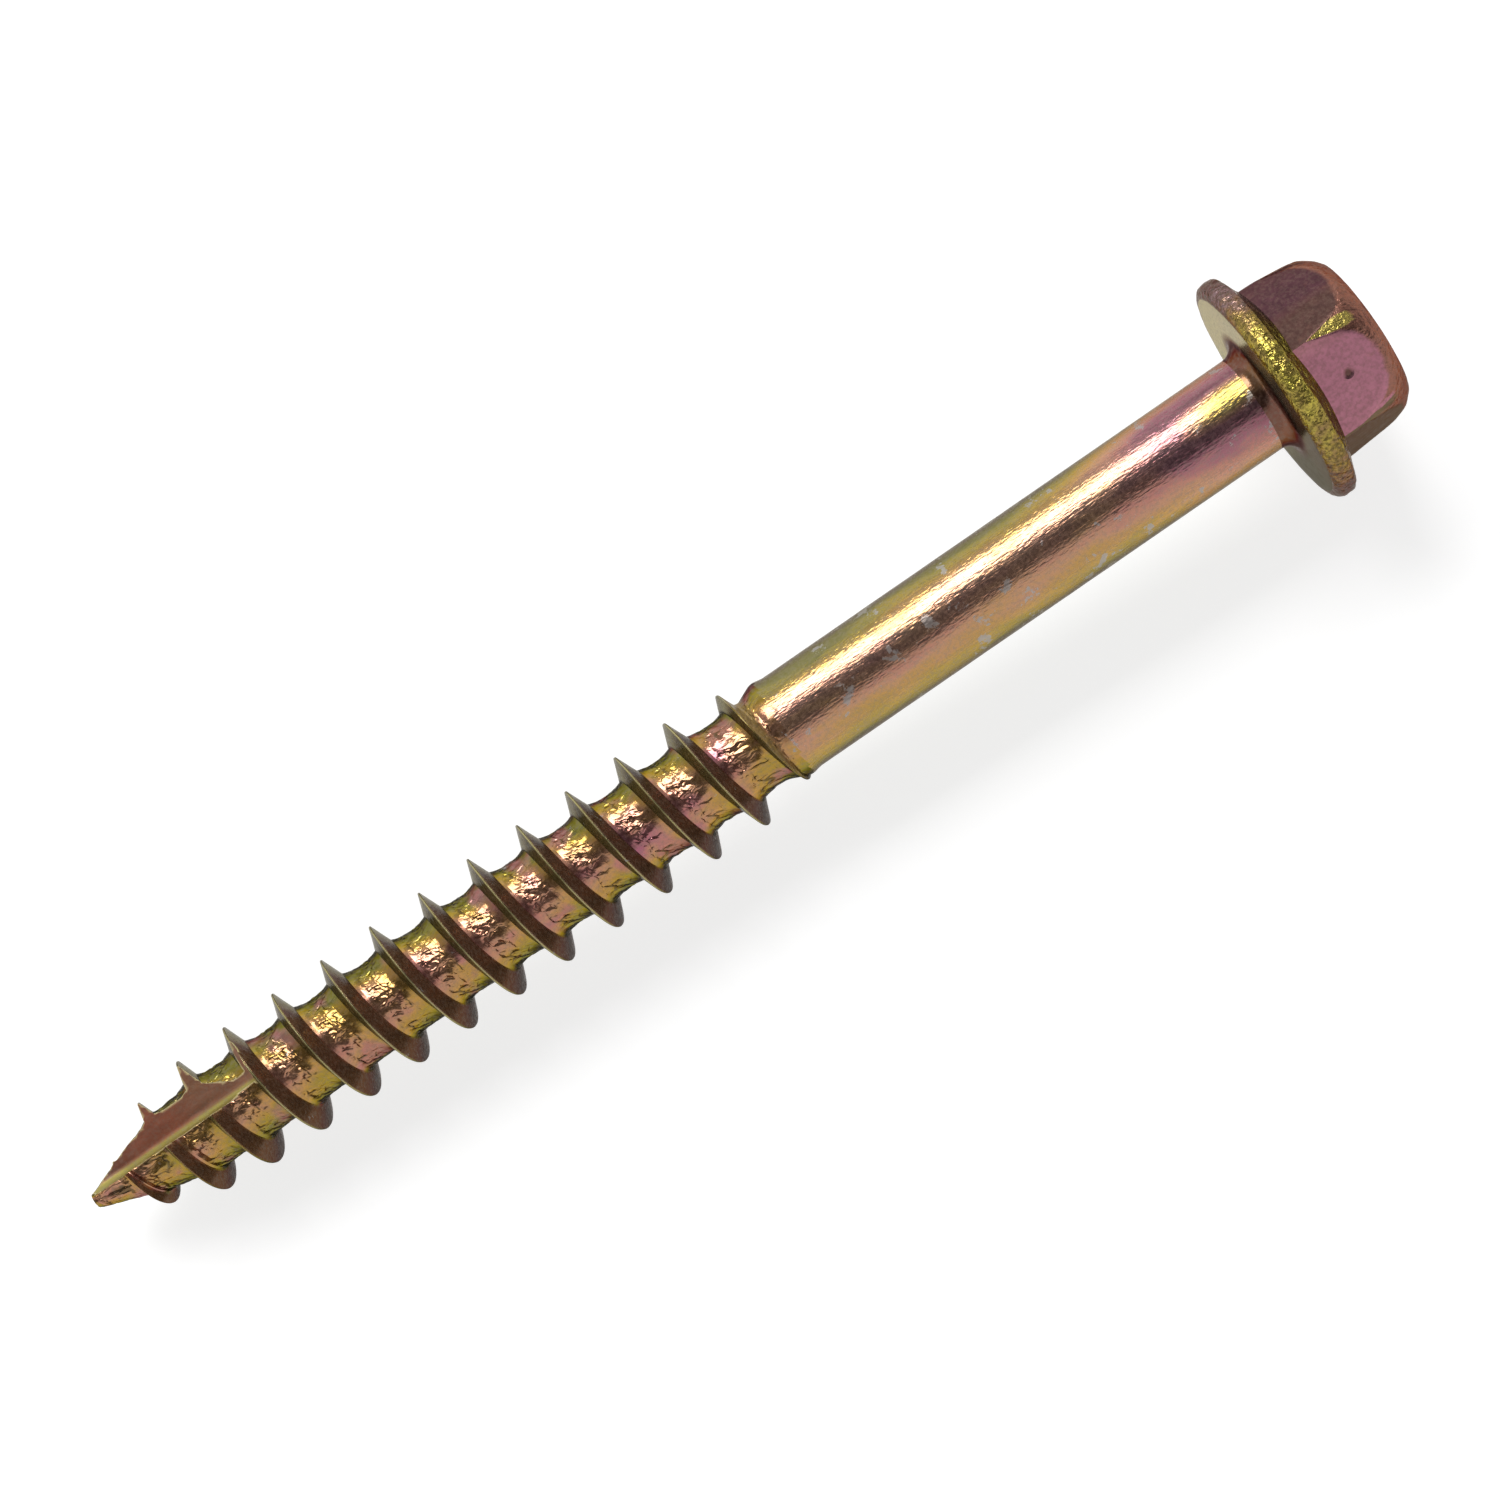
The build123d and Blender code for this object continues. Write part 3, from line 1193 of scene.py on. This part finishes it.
    def material(self, place: Place) -> bpy.types.Material:
        """Builds the material.

        Args:
            place: the screw's axes, along which its patterns run.

        Returns:
            The material.
        """
        material = bpy.data.materials.new(self.name)
        material.use_nodes = True
        material.node_tree.nodes.clear()
        add = partial(add_node, material.node_tree)
        spot = Spot.of(add, place)
        squeeze = (1.0, 1.0, 1 / self.stretch)
        drawn = add(VECTOR_MATH, spot.place, squeeze, operation="MULTIPLY")
        dressing = self.dressed(add, spot)

        flecks = {"Vector": spot.place, "Scale": 1 / self.speck_size, "Detail": 3.0}
        flecks = add(MAP_RANGE, add(NOISE, flecks), *self.speck_span, 0.0, self.specks)
        metallic = add(MATH, flecks, self.speck_metal, self.metallic, operation="MULTIPLY_ADD")
        metallic = add(
            MATH, dressing.dull, self.dull_metal, metallic, operation="MULTIPLY_ADD", use_clamp=True
        )
        coats = [*dressing.coats, (flecks, self.speck_colour)]

        streaks = add(NOISE, {"Vector": drawn, "Scale": 1 / self.streak, "Detail": 3.0})
        grains = add(NOISE, {"Vector": drawn, "Scale": 1 / self.grain, "Detail": 1.0})
        relief = streaks
        for part, depth in ((grains, self.grain_depth), (dressing.raised, 1.0)):
            share = depth / self.streak_depth
            relief = add(MATH, part, share, relief, operation="MULTIPLY_ADD")
        relief = add("ShaderNodeBump", {"Distance": self.streak_depth * MM, "Height": relief})
        least, most = self.roughness - self.uneven / 2, self.roughness + self.uneven / 2
        rough = add(MAP_RANGE, streaks, *self.uneven_span, least, most)
        rough = add(MATH, dressing.dull, self.dull_rough, rough, operation="MULTIPLY_ADD")

        if self.scuffs:
            worn = {"Vector": spot.place, "Scale": 1 / self.scuff_size, "Detail": 5.0}
            worn = add(NOISE, worn | {"Roughness": self.scuff_detail})
            level = self.scuff_level - self.scuff_gain * self.scuffs
            worn = add(MAP_RANGE, worn, level, level + self.scuff_edge)
            worn = add(MATH, worn, self.scuff_cover, operation="MULTIPLY")
            coats.append((worn, self.scuff_colour))
            rough = add(MATH, worn, self.scuff_rough, rough, operation="MULTIPLY_ADD")

        colour = self.film_colour_and_painted_light(add, spot, drawn)
        for share, shade in coats:
            shade = linear(shade) if isinstance(shade, str) else shade
            colour = add(MIX, share, {UNDER: colour, OVER: shade}, data_type="RGBA").outputs[MIXED]
        gloss = {
            "Base Color": colour,
            "Metallic": metallic,
            "Roughness": rough,
            "Normal": relief,
            "Specular Tint": linear(self.edge_tint) if self.edge_tint else colour,
            "Coat Weight": self.coat,
            "Coat Roughness": self.haze,
        }
        add("ShaderNodeOutputMaterial", add("ShaderNodeBsdfPrincipled", gloss))
        return material


@dataclass(frozen=True)
class ThreadZinc(ZincPassivate):
    """Zinc on the rolled thread: brown head flanks that are painted reflection of the dark root,
    flanks painted pale as light on the lamp's side, a rubbed crest and laps folded into the root.
    """

    # The head flank's brown is painted reflection of the dark root beside it, and the pale that
    # flanks take on the lamp's side is painted light.
    head_flank: str = "765640"
    point_flank: str = "857541"
    painted_lit_flank: str = "c2bf9b"
    first_flank: str = "8f7746"
    crest: str = "b3ab7c"
    crack: str = "5a4a2c"
    blush: str = "b0687e"
    blush_size: float = 3.0303
    blush_span: tuple[float, float] = (0.55, 0.65)
    blush_cover: float = 0.55
    flank_rise: tuple[float, float] = (0.1, 0.2)
    headward: tuple[float, float] = (-0.62, -0.68)
    pointward: tuple[float, float] = (0.66, 0.72)
    crest_rise: tuple[float, float] = (0.982, 1.0)
    lit_side_lean: tuple[float, float] = (0.72, 0.95)
    first_stations: tuple[float, float] = (44.5, 42.5)
    first_reach: tuple[float, float] = (-0.2, -0.5)
    first_grit: float = 0.45455
    first_depth: float = 0.3
    first_dull: float = 0.75
    flank_dull: float = 0.25
    # Folded plates about a millimetre and a half wide, the cracks round them and the gaps.
    lap_reach: tuple[float, float] = (0.55, 0.35)
    fold_drift: float = 0.03
    fold_width: float = 2.1
    fold_size: float = 1.6129
    fold_span: tuple[float, float] = (0.0, 0.1)
    fold_depth: float = 0.03
    bend_size: float = 0.90909
    bend: float = 1.1
    gap_size: float = 1.42857
    gap_span: tuple[float, float] = (0.48, 0.56)
    crack_span: tuple[float, float] = (0.07, 0.03)
    crack_cover: float = 0.8
    crease_size: float = 0.58824
    crease_reach: tuple[float, float] = (0.05, 0.4)
    crease_depth: float = 0.22

    def laps(self, add: Add, spot: Spot, rolled: Socket) -> tuple[Feed, Feed]:
        """Adds the laps: fine cracks round folded plates, and creases along the root.

        Args:
            add: adds a node to the material.
            spot: the place on the screw.
            rolled: how far the dies have rolled the place.

        Returns:
            How far a place is a crack, and how high it stands in millimetres.
        """
        folded = add(MATH, spot.side, self.fold_width, operation="MULTIPLY")
        folded = add(MATH, spot.axes["Z"], self.fold_drift, folded, operation="MULTIPLY_ADD")
        folded = add(COMBINE, spot.axes["X"], spot.axes["Y"], folded)
        bent = add(NOISE, {"Vector": folded, "Scale": 1 / self.bend_size, "Detail": 1.5})
        bends = (self.bend, self.bend, self.bend)
        folded = add(VECTOR_MATH, bent.outputs["Color"], bends, folded, operation="MULTIPLY_ADD")
        plates = {"Vector": folded, "Scale": 1 / self.fold_size}
        plates = add("ShaderNodeTexVoronoi", plates, feature="DISTANCE_TO_EDGE")
        inner = add(MATH, spot.side, operation="ABSOLUTE")
        inner = add(MAP_RANGE, inner, *self.lap_reach)

        gaps = add(NOISE, {"Vector": folded, "Scale": 1 / self.gap_size, "Detail": 1.0})
        gaps = add(MAP_RANGE, gaps, *self.gap_span)
        cracks = add(MAP_RANGE, plates, *self.crack_span)
        for factor in (gaps, inner, rolled, self.crack_cover):
            cracks = add(MATH, cracks, factor, operation="MULTIPLY")

        creases = add(NOISE, {"Vector": folded, "Scale": 1 / self.crease_size, "Detail": 1.5})
        middle = add(MAP_RANGE, spot.side, *self.crease_reach)
        middle = add(MATH, middle, -1.0, inner, operation="MULTIPLY_ADD")
        middle = add(MATH, middle, 0.0, operation="MAXIMUM")
        creases = add(MATH, creases, middle, operation="MULTIPLY")
        height = add(MAP_RANGE, plates, *self.fold_span, 0.0, self.fold_depth)
        height = add(MATH, height, inner, operation="MULTIPLY")
        height = add(MATH, creases, self.crease_depth, height, operation="MULTIPLY_ADD")
        return cracks, add(MATH, height, rolled, operation="MULTIPLY")

    def dressed(self, add: Add, spot: Spot) -> Dressing:
        """Adds the flanks, the crest, the laps and the burr.

        Args:
            add: adds a node to the material.
            spot: the place on the screw.

        Returns:
            What lies over the film.
        """
        names = ("rise", "rolled", "burr")
        rise, rolled, burr = (
            add(ATTRIBUTE, attribute_name=name).outputs["Fac"] for name in names
        )
        cracks, height = self.laps(add, spot, rolled)
        tall = add(MAP_RANGE, rise, *self.flank_rise)
        flanks = [
            add(MATH, add(MAP_RANGE, spot.side, *reach), tall, operation="MULTIPLY")
            for reach in (self.headward, self.pointward)
        ]
        # The first turn rises slowly, and the dies leave its flank rough and golden.
        gilt = add(MAP_RANGE, spot.axes["Z"], *self.first_stations)
        # Flanks on the lamp's side turn pale: painted light.
        pale = add(MAP_RANGE, spot.lean["Y"], *self.lit_side_lean)
        # The head flank's brown stands for its reflection of the dark root: painted reflection.
        shades = []
        for shade, coats in (
            (self.head_flank, ((gilt, self.first_flank), (pale, self.painted_lit_flank))),
            (self.point_flank, ((pale, self.painted_lit_flank),)),
        ):
            shade = linear(shade)
            for share, coat in coats:
                feeds = {UNDER: shade, OVER: linear(coat)}
                shade = add(MIX, share, feeds, data_type="RGBA").outputs[MIXED]
            shades.append(shade)
        # The film is at its thinnest, and pink, in a few patches of the root.
        blush = add(NOISE, {"Vector": spot.place, "Scale": 1 / self.blush_size, "Detail": 2.0})
        blush = add(MAP_RANGE, blush, *self.blush_span, 0.0, self.blush_cover)
        crest = add(MAP_RANGE, rise, *self.crest_rise)
        first = add(MAP_RANGE, spot.side, *self.first_reach)
        for factor in (gilt, rolled):
            first = add(MATH, first, factor, operation="MULTIPLY")
        grit = add(NOISE, {"Vector": spot.place, "Scale": 1 / self.first_grit, "Detail": 2.0})
        grit = add(MATH, grit, first, operation="MULTIPLY")
        height = add(MATH, grit, self.first_depth, height, operation="MULTIPLY_ADD")
        dull = add(MATH, *flanks, operation="MAXIMUM")
        dull = add(MATH, dull, self.flank_dull, operation="MULTIPLY")
        dull = add(MATH, first, self.first_dull, dull, operation="MULTIPLY_ADD")
        dull = add(MATH, burr, dull, operation="MAXIMUM")
        coats = [(blush, self.blush), (cracks, self.crack), *zip(flanks, shades)]
        coats += [(crest, self.crest), (first, self.first_flank), (burr, BURR_COLOUR)]
        return Dressing(coats, dull, height)


@dataclass(frozen=True)
class CutZinc(ZincPassivate):
    """Zinc on the milled notch: brown along the floor, olive in the hollow, bright at the edge."""

    hollow: str = "9c9040"
    # The floor reddens towards the blunt end and is darkest there.
    stains: tuple[tuple[str, float], ...] = (("a8614a", 89.5), ("6b4636", 95.5))
    stain_run: float = 2.5
    stain_cover: float = 0.8

    def dressed(self, add: Add, spot: Spot) -> Dressing:
        """Adds the stains, the hollow and the burr on the edge.

        Args:
            add: adds a node to the material.
            spot: the place on the screw.

        Returns:
            What lies over the film.
        """
        coats = []
        for shade, start in self.stains:
            end = start + self.stain_run
            stain = add(MAP_RANGE, spot.axes["Z"], start, end, 0.0, self.stain_cover)
            coats.append((stain, shade))
        hollow, burr = (
            add(ATTRIBUTE, attribute_name=name).outputs["Fac"] for name in ("hollow", "burr")
        )
        return Dressing([*coats, (hollow, self.hollow), (burr, BURR_COLOUR)], burr)


@dataclass(frozen=True)
class HeadZinc(ZincPassivate):
    """Zinc on the forged head: each flat has its own shade, painted light and shade face by face,
    crown and corners keep scale pits, and the trimmed corners' gold is partly a painted highlight.
    """

    flat_painted_shades: tuple[str, ...] = ("4f3238", "8d6a55", "9f6672", "7d6a4e", "6d5f48", "b07484")
    flat_cover: float = 0.93
    first_corner: float = 10.3
    crown: str = "956557"
    crown_span: tuple[float, float] = (0.2, 0.8)
    crown_ragged: float = 1.4
    crown_depth: float = 0.12
    # Gold on the trimmed corners, partly a painted highlight.
    wedge: str = "b3a254"
    wedge_span: tuple[float, float] = (0.25, 0.6)
    wedge_ragged: float = 0.9
    wedge_depth: float = 0.3
    corners: tuple[float, ...] = (1.0, 0.0, 0.5, 0.8, 0.3, 0.0)
    ragged_size: float = 1.11111
    scale_size: float = 0.41667
    pit: tuple[float, float, float] = (6.05, -2.05, -4.7)
    pit_reach: tuple[float, float] = (0.45, 0.2)
    pit_depth: float = 0.1
    pit_colour: str = "6a4644"

    def dressed(self, add: Add, spot: Spot) -> Dressing:
        """Adds the shades of the flats, the crown, the trimmed corners and the pits.

        Args:
            add: adds a node to the material.
            spot: the place on the screw.

        Returns:
            What lies over the film.
        """
        # Flats in their painted shades of light and shade, and how golden each corner is, partly as
        # a painted highlight, in order of turn from the first corner.
        share = add(MATH, spot.axes["Y"], spot.axes["X"], operation="ARCTAN2")
        turned = 1 - self.first_corner / 360
        share = add(MATH, share, 0.5 / math.pi, turned, operation="MULTIPLY_ADD")
        sixths = []
        for ahead, levels in (
            (0.0, [linear(shade) for shade in self.flat_painted_shades]),
            (0.5 / 6, [(level, level, level, 1.0) for level in self.corners]),
        ):
            share = add(MATH, share, ahead, operation="ADD")
            share = add(MATH, share, operation="FRACT")
            stops = [(place / 6, level) for place, level in enumerate(levels)]
            sixth = add(RAMP, share, points=stops)
            sixth.color_ramp.interpolation = "CONSTANT"
            sixths.append(sixth.outputs["Color"])
        shades, gold_and_highlight = sixths

        crown, wedge = (
            add(ATTRIBUTE, attribute_name=name).outputs["Fac"] for name in ("crown", "wedge")
        )
        ragged = add(NOISE, {"Vector": spot.place, "Scale": 1 / self.ragged_size, "Detail": 4.0})
        ragged = add(MATH, ragged, 0.5, operation="SUBTRACT")
        crown = add(MATH, ragged, self.crown_ragged, crown, operation="MULTIPLY_ADD")
        crown = add(MAP_RANGE, crown, *self.crown_span)
        # The trimmed corners' gold is partly a painted highlight.
        wedge = add(MATH, ragged, self.wedge_ragged, wedge, operation="MULTIPLY_ADD")
        wedge = add(MAP_RANGE, wedge, *self.wedge_span)
        wedge = add(MATH, wedge, gold_and_highlight, operation="MULTIPLY")

        # Scale pits where the dies didn't rub, and one deeper pit that grit left in a flat.
        scale = {"Vector": spot.place, "Scale": 1 / self.scale_size, "Detail": 2.0}
        scale = add(NOISE, scale | {"Roughness": 0.6})
        scale = add(MATH, scale, 0.5, operation="SUBTRACT")
        depth = add(MATH, crown, self.crown_depth, operation="MULTIPLY")
        depth = add(MATH, wedge, self.wedge_depth, depth, operation="MULTIPLY_ADD")
        height = add(MATH, scale, depth, operation="MULTIPLY")
        pit = add(VECTOR_MATH, spot.place, self.pit, operation="DISTANCE").outputs["Value"]
        pit = add(MAP_RANGE, pit, *self.pit_reach)
        height = add(MATH, pit, -self.pit_depth, height, operation="MULTIPLY_ADD")
        coats = [(self.flat_cover, shades), (crown, self.crown), (wedge, self.wedge)]
        return Dressing([*coats, (pit, self.pit_colour)], 0.0, height)


@dataclass(frozen=True)
class SeatZinc(ZincPassivate):
    """Zinc on the bearing face and the neck: pale grey-green face with painted shade on its lower
    side, and brown round the neck that reaches onto the face as painted reflection and shade.
    """

    face: str = "c8c2a4"
    face_reach: tuple[float, float] = (4.6, 5.4)
    shaded: str = "726d56"
    shaded_aside: tuple[float, float] = (2.0, -5.0)
    neck: str = "6e4c3c"
    cover: float = 0.9

    def dressed(self, add: Add, spot: Spot) -> Dressing:
        """Adds the face and the neck by their distance from the axis.

        Args:
            add: adds a node to the material.
            spot: the place on the screw.

        Returns:
            What lies over the film.
        """
        reach = add(VECTOR_MATH, spot.across, operation="LENGTH").outputs["Value"]
        face = add(MAP_RANGE, reach, *self.face_reach)
        # The face's lower side is darkened as painted shade.
        lower = add(MAP_RANGE, spot.axes["Y"], *self.shaded_aside)
        feeds = {UNDER: linear(self.face), OVER: linear(self.shaded)}
        pale = add(MIX, lower, feeds, data_type="RGBA").outputs[MIXED]
        # The neck's brown, carried a little onto the face, is partly painted reflection and shade
        # of the neck.
        feeds = {UNDER: linear(self.neck), OVER: pale}
        return Dressing([(self.cover, add(MIX, face, feeds, data_type="RGBA").outputs[MIXED])])


FINISHES: dict[Zone, ZincPassivate] = {
    # Cold forged: the flats are satin from the dies, the crown keeps scale.
    Zone.HEAD: HeadZinc(
        "zinc_on_forged_head",
        roughness=0.36,
        specks=0.3,
        speck_colour="6e5a4e",
        wander=0.25,
        metallic=1.0,
        coat=0.15,
    ),
    # Upset against a rough die: hammer marks about 0.6 mm wide make it glitter gold.
    Zone.RIM: ZincPassivate(
        "zinc_on_hammered_rim",
        film_and_painted_shade=((0.0, "8a7274"), (0.3, "93735a"), (0.6, "9b844a"), (1.0, "c4b452")),
        order=0.82,
        by_lean=-1.1,
        by_aside=-0.35,
        aside_from=-20.0,
        wander=1.2,
        patch=0.9,
        roughness=0.18,
        streak=0.62,
        streak_depth=0.34,
        grain=0.2,
        grain_depth=0.05,
        specks=0.7,
        speck_colour="4a3f24",
        head_tint=0.0,
        coat=0.0,
    ),
    # Pressed flat by the die: smooth, so it mirrors the pale room.
    Zone.SEAT: SeatZinc("zinc_on_seat_and_neck", uneven=0.06, coat=0.0, edge_tint=None),
    # Cold drawn: fine marks along it fray the edges of its long highlight.
    Zone.SHANK: ZincPassivate(
        "zinc_on_drawn_shank",
        stretch=3.5,
        wander=0.6,
        patch=1.6,
        scuffs=0.6,
        grain_depth=0.03,
        streak=0.4,
        streak_depth=0.02,
    ),
    # Rolled: burnished, with patches of pink and gold between the dull flanks.
    Zone.THREAD: ThreadZinc(
        "zinc_on_rolled_thread",
        by_side=0.22,
        point_tint=0.1,
        wander=0.9,
        stretch=3.0,
        scuffs=0.35,
        coat=0.0,
        edge_tint="4e3f33",
    ),
    # Milled across: dull and brown, with faint marks along the cut.
    Zone.CUT: CutZinc(
        "zinc_on_milled_notch",
        film_and_painted_shade=((0.0, "865943"), (0.5, "a06e54"), (1.0, "ac7f58")),
        order=0.5,
        by_lean=0.0,
        by_aside=0.0,
        wander=1.2,
        head_tint=0.0,
        metallic=0.8,
        roughness=0.5,
        streak_depth=0.03,
        stretch=8.0,
    ),
}


@dataclass
class Screw:
    """The whole screw, made of its head, its thread and its notched point."""

    place: Place
    thread: RolledThread = field(default_factory=RolledThread)
    point: CuttingPoint = field(default_factory=CuttingPoint)
    clearance: float = 0.002
    sharp_angle: float = 40.0

    def close(self, mesh: bpy.types.Mesh) -> None:
        """Cuts the point off flat, a hair inside the full length, and closes its blunt end.

        Args:
            mesh: the rolled mesh.
        """
        body = bmesh.new()
        body.from_mesh(mesh)
        cut = bmesh.ops.bisect_plane(
            body,
            geom=[*body.verts, *body.edges, *body.faces],
            dist=1e-5,
            plane_co=(0, 0, self.thread.length - self.clearance),
            plane_no=(0, 0, 1),
            clear_outer=True,
        )
        rest = [edge for edge in cut["geom_cut"] if isinstance(edge, bmesh.types.BMEdge)]
        for face in bmesh.ops.contextual_create(body, geom=rest)["faces"]:
            face.material_index = Zone.THREAD.value
        bmesh.ops.recalc_face_normals(body, faces=body.faces)
        body.to_mesh(mesh)
        body.free()

    def mill(self, blank: bpy.types.Mesh, finish: bpy.types.Material) -> bpy.types.Mesh:
        """Cuts the notch.

        Args:
            blank: the closed screw.
            finish: the material of the milled faces.

        Returns:
            The notched mesh in millimetres.
        """
        whole, cutter = stand("milling", blank), stand("notch_cutter", self.point.build(finish))
        cut = whole.modifiers.new("notch", "BOOLEAN")
        cut.operation = "DIFFERENCE"
        cut.solver = "EXACT"
        cut.material_mode = "TRANSFER"
        cut.object = cutter
        milled = shaped(whole, cut)
        # The strip's own empty slot holds no faces.
        milled.materials.pop(index=len(Zone))
        bpy.data.objects.remove(cutter)
        return milled

    def mark(self, mesh: bpy.types.Mesh) -> None:
        """Marks the burr between milled and rolled faces, and the hollow beside the edge.

        Args:
            mesh: the notched mesh.
        """
        body = bmesh.new()
        body.from_mesh(mesh)
        burred = body.verts.layers.float.new("burr")
        hollowed = body.verts.layers.float.new("hollow")
        for vert in body.verts:
            milled = {face.material_index == Zone.CUT.value for face in vert.link_faces}
            if len(milled) == 2:
                vert[burred] = self.point.burr
            if True in milled:
                aside = vert.co.y - self.point.edge_height
                vert[hollowed] = 1.0 - smooth(aside, *self.point.hollow_span)
        body.to_mesh(mesh)
        body.free()

    def build(self) -> bpy.types.Object:
        """Returns:
            The finished piece.
        """
        finishes = {zone: finish.material(self.place) for zone, finish in FINISHES.items()}
        head = ForgedHead(self.thread.columns, self.thread.start_station())
        mesh = self.thread.roll(head.build(finishes), finishes)
        self.close(mesh)
        mesh = self.mill(mesh, finishes[Zone.CUT])
        self.mark(mesh)
        mesh.transform(self.place.matrix())
        mesh.shade_smooth()
        mesh.set_sharp_from_angle(angle=math.radians(self.sharp_angle))
        mesh.name = "lag_screw_body"
        whole = stand("lag_screw_body", mesh)
        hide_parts("lag_screw")
        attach(whole, "root")
        return whole


@dataclass
class Studio:
    """A pale floor, a soft lamp and the camera.

    The camera's sizes are millimetres, those of floor and lamp metres, and angles are degrees.
    """

    aim: tuple[float, float, float] = (2.119, 0.0044, 9.0)
    distance: float = 241.55
    lean: tuple[float, float, float] = (1.0248, -0.2139, -34.528)
    focal_length: float = 83.08
    sensor: float = 36.0
    nearest: float = 10.0
    floor_size: float = 6.0
    floor_colour: str = "c4c4c4"
    floor_glow: float = 0.66
    box_angle: float = 48.0
    box_reach: float = 0.6
    box_length: float = 0.46
    box_width: float = 0.26
    box_radiance: float = 8.0
    # Degrees from straight up, towards the soft box where they are above zero, and the light.
    levels: tuple[tuple[float, float], ...] = (
        (-180, 0.9),
        (-90, 0.9),
        (-60, 0.95),
        (-34, 0.9),
        (-24, 0.45),
        (-17, 0.04),
        (22, 0.03),
        (34, 0.4),
        (64, 0.5),
        (90, 0.75),
        (180, 0.8),
    )

    def camera(self) -> None:
        """Stands the camera over the screw."""
        turn = Euler([math.radians(angle) for angle in self.lean], "ZXY").to_matrix()
        data = bpy.data.cameras.new("camera")
        data.lens = self.focal_length
        data.sensor_width = self.sensor
        data.clip_start = self.nearest * MM
        camera = stand("camera", data)
        spot = (Vector(self.aim) + turn.col[2] * self.distance) * MM
        camera.matrix_world = Matrix.Translation(spot) @ turn.to_4x4()
        bpy.context.scene.camera = camera

    def floor(self) -> bpy.types.Object:
        """Lays the pale floor.

        Returns:
            The floor, which isn't part of the screw.
        """
        half = self.floor_size / 2
        mesh = bpy.data.meshes.new("floor")
        corners = [(-half, -half, 0), (half, -half, 0), (half, half, 0), (-half, half, 0)]
        mesh.from_pydata(corners, [], [(0, 1, 2, 3)])
        material = bpy.data.materials.new("matt_white_board")
        material.use_nodes = True
        material.node_tree.nodes.clear()
        add = partial(add_node, material.node_tree)
        matt = add("ShaderNodeBsdfDiffuse", linear(self.floor_colour))
        rays = add("ShaderNodeLightPath").outputs
        seen = rays["Is Camera Ray"]
        for ray in ("Is Glossy Ray", "Is Transmission Ray"):
            seen = add(MATH, seen, rays[ray], operation="MAXIMUM")
        glow = add(MATH, seen, self.floor_glow, operation="MULTIPLY")
        glow = add("ShaderNodeEmission", WHITE, glow)
        add("ShaderNodeOutputMaterial", add("ShaderNodeAddShader", matt, glow))
        mesh.materials.append(material)
        floor = stand("floor", mesh)
        return floor

    def world(self) -> None:
        """Lights the room: white boards all round the screw, dark overhead by the camera."""
        world = bpy.data.worlds.new("studio")
        world.use_nodes = True
        world.node_tree.nodes.clear()
        add = partial(add_node, world.node_tree)
        way = add(SEPARATE, add("ShaderNodeTexCoord").outputs["Generated"]).outputs
        angle = add(MATH, way["Y"], way["Z"], operation="ARCTAN2")
        share = add(MATH, angle, 0.5 / math.pi, 0.5, operation="MULTIPLY_ADD")
        points = [(0.5 + degrees / 360, level) for degrees, level in self.levels]
        level = add(CURVE, {"Value": share}, points=points)
        # Past the floor's edge the camera sees plain white.
        seen = add("ShaderNodeLightPath").outputs["Is Camera Ray"]
        level = add(MATH, level, seen, operation="MAXIMUM")
        add("ShaderNodeOutputWorld", add("ShaderNodeBackground", WHITE, level))
        bpy.context.scene.world = world

    def lamp(self) -> None:
        """Hangs the long soft box whose reflection runs along the shank."""
        data = bpy.data.lights.new("soft_box", "AREA")
        data.shape = "RECTANGLE"
        data.size = self.box_length
        data.size_y = self.box_width
        data.energy = self.box_radiance * math.pi * self.box_length * self.box_width
        box = stand("soft_box", data)
        angle = math.radians(self.box_angle)
        box.location = (0, self.box_reach * math.sin(angle), self.box_reach * math.cos(angle))
        box.rotation_euler = (-angle, 0, 0)


def main() -> None:
    """Builds the screw and the studio."""
    logging.basicConfig(level=logging.INFO, format="%(message)s")
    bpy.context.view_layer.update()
    place = Place.from_record(frame["record"])
    piece = Screw(place).build()
    piece.data.calc_loop_triangles()
    log.info("%s: %d triangles", piece.name, len(piece.data.loop_triangles))
    studio = Studio()
    log.info("studio: %s", studio.floor().name)
    studio.world()
    studio.lamp()
    studio.camera()
    bpy.context.scene.view_settings.view_transform = "Standard"


if __name__ == "__main__":
    main()
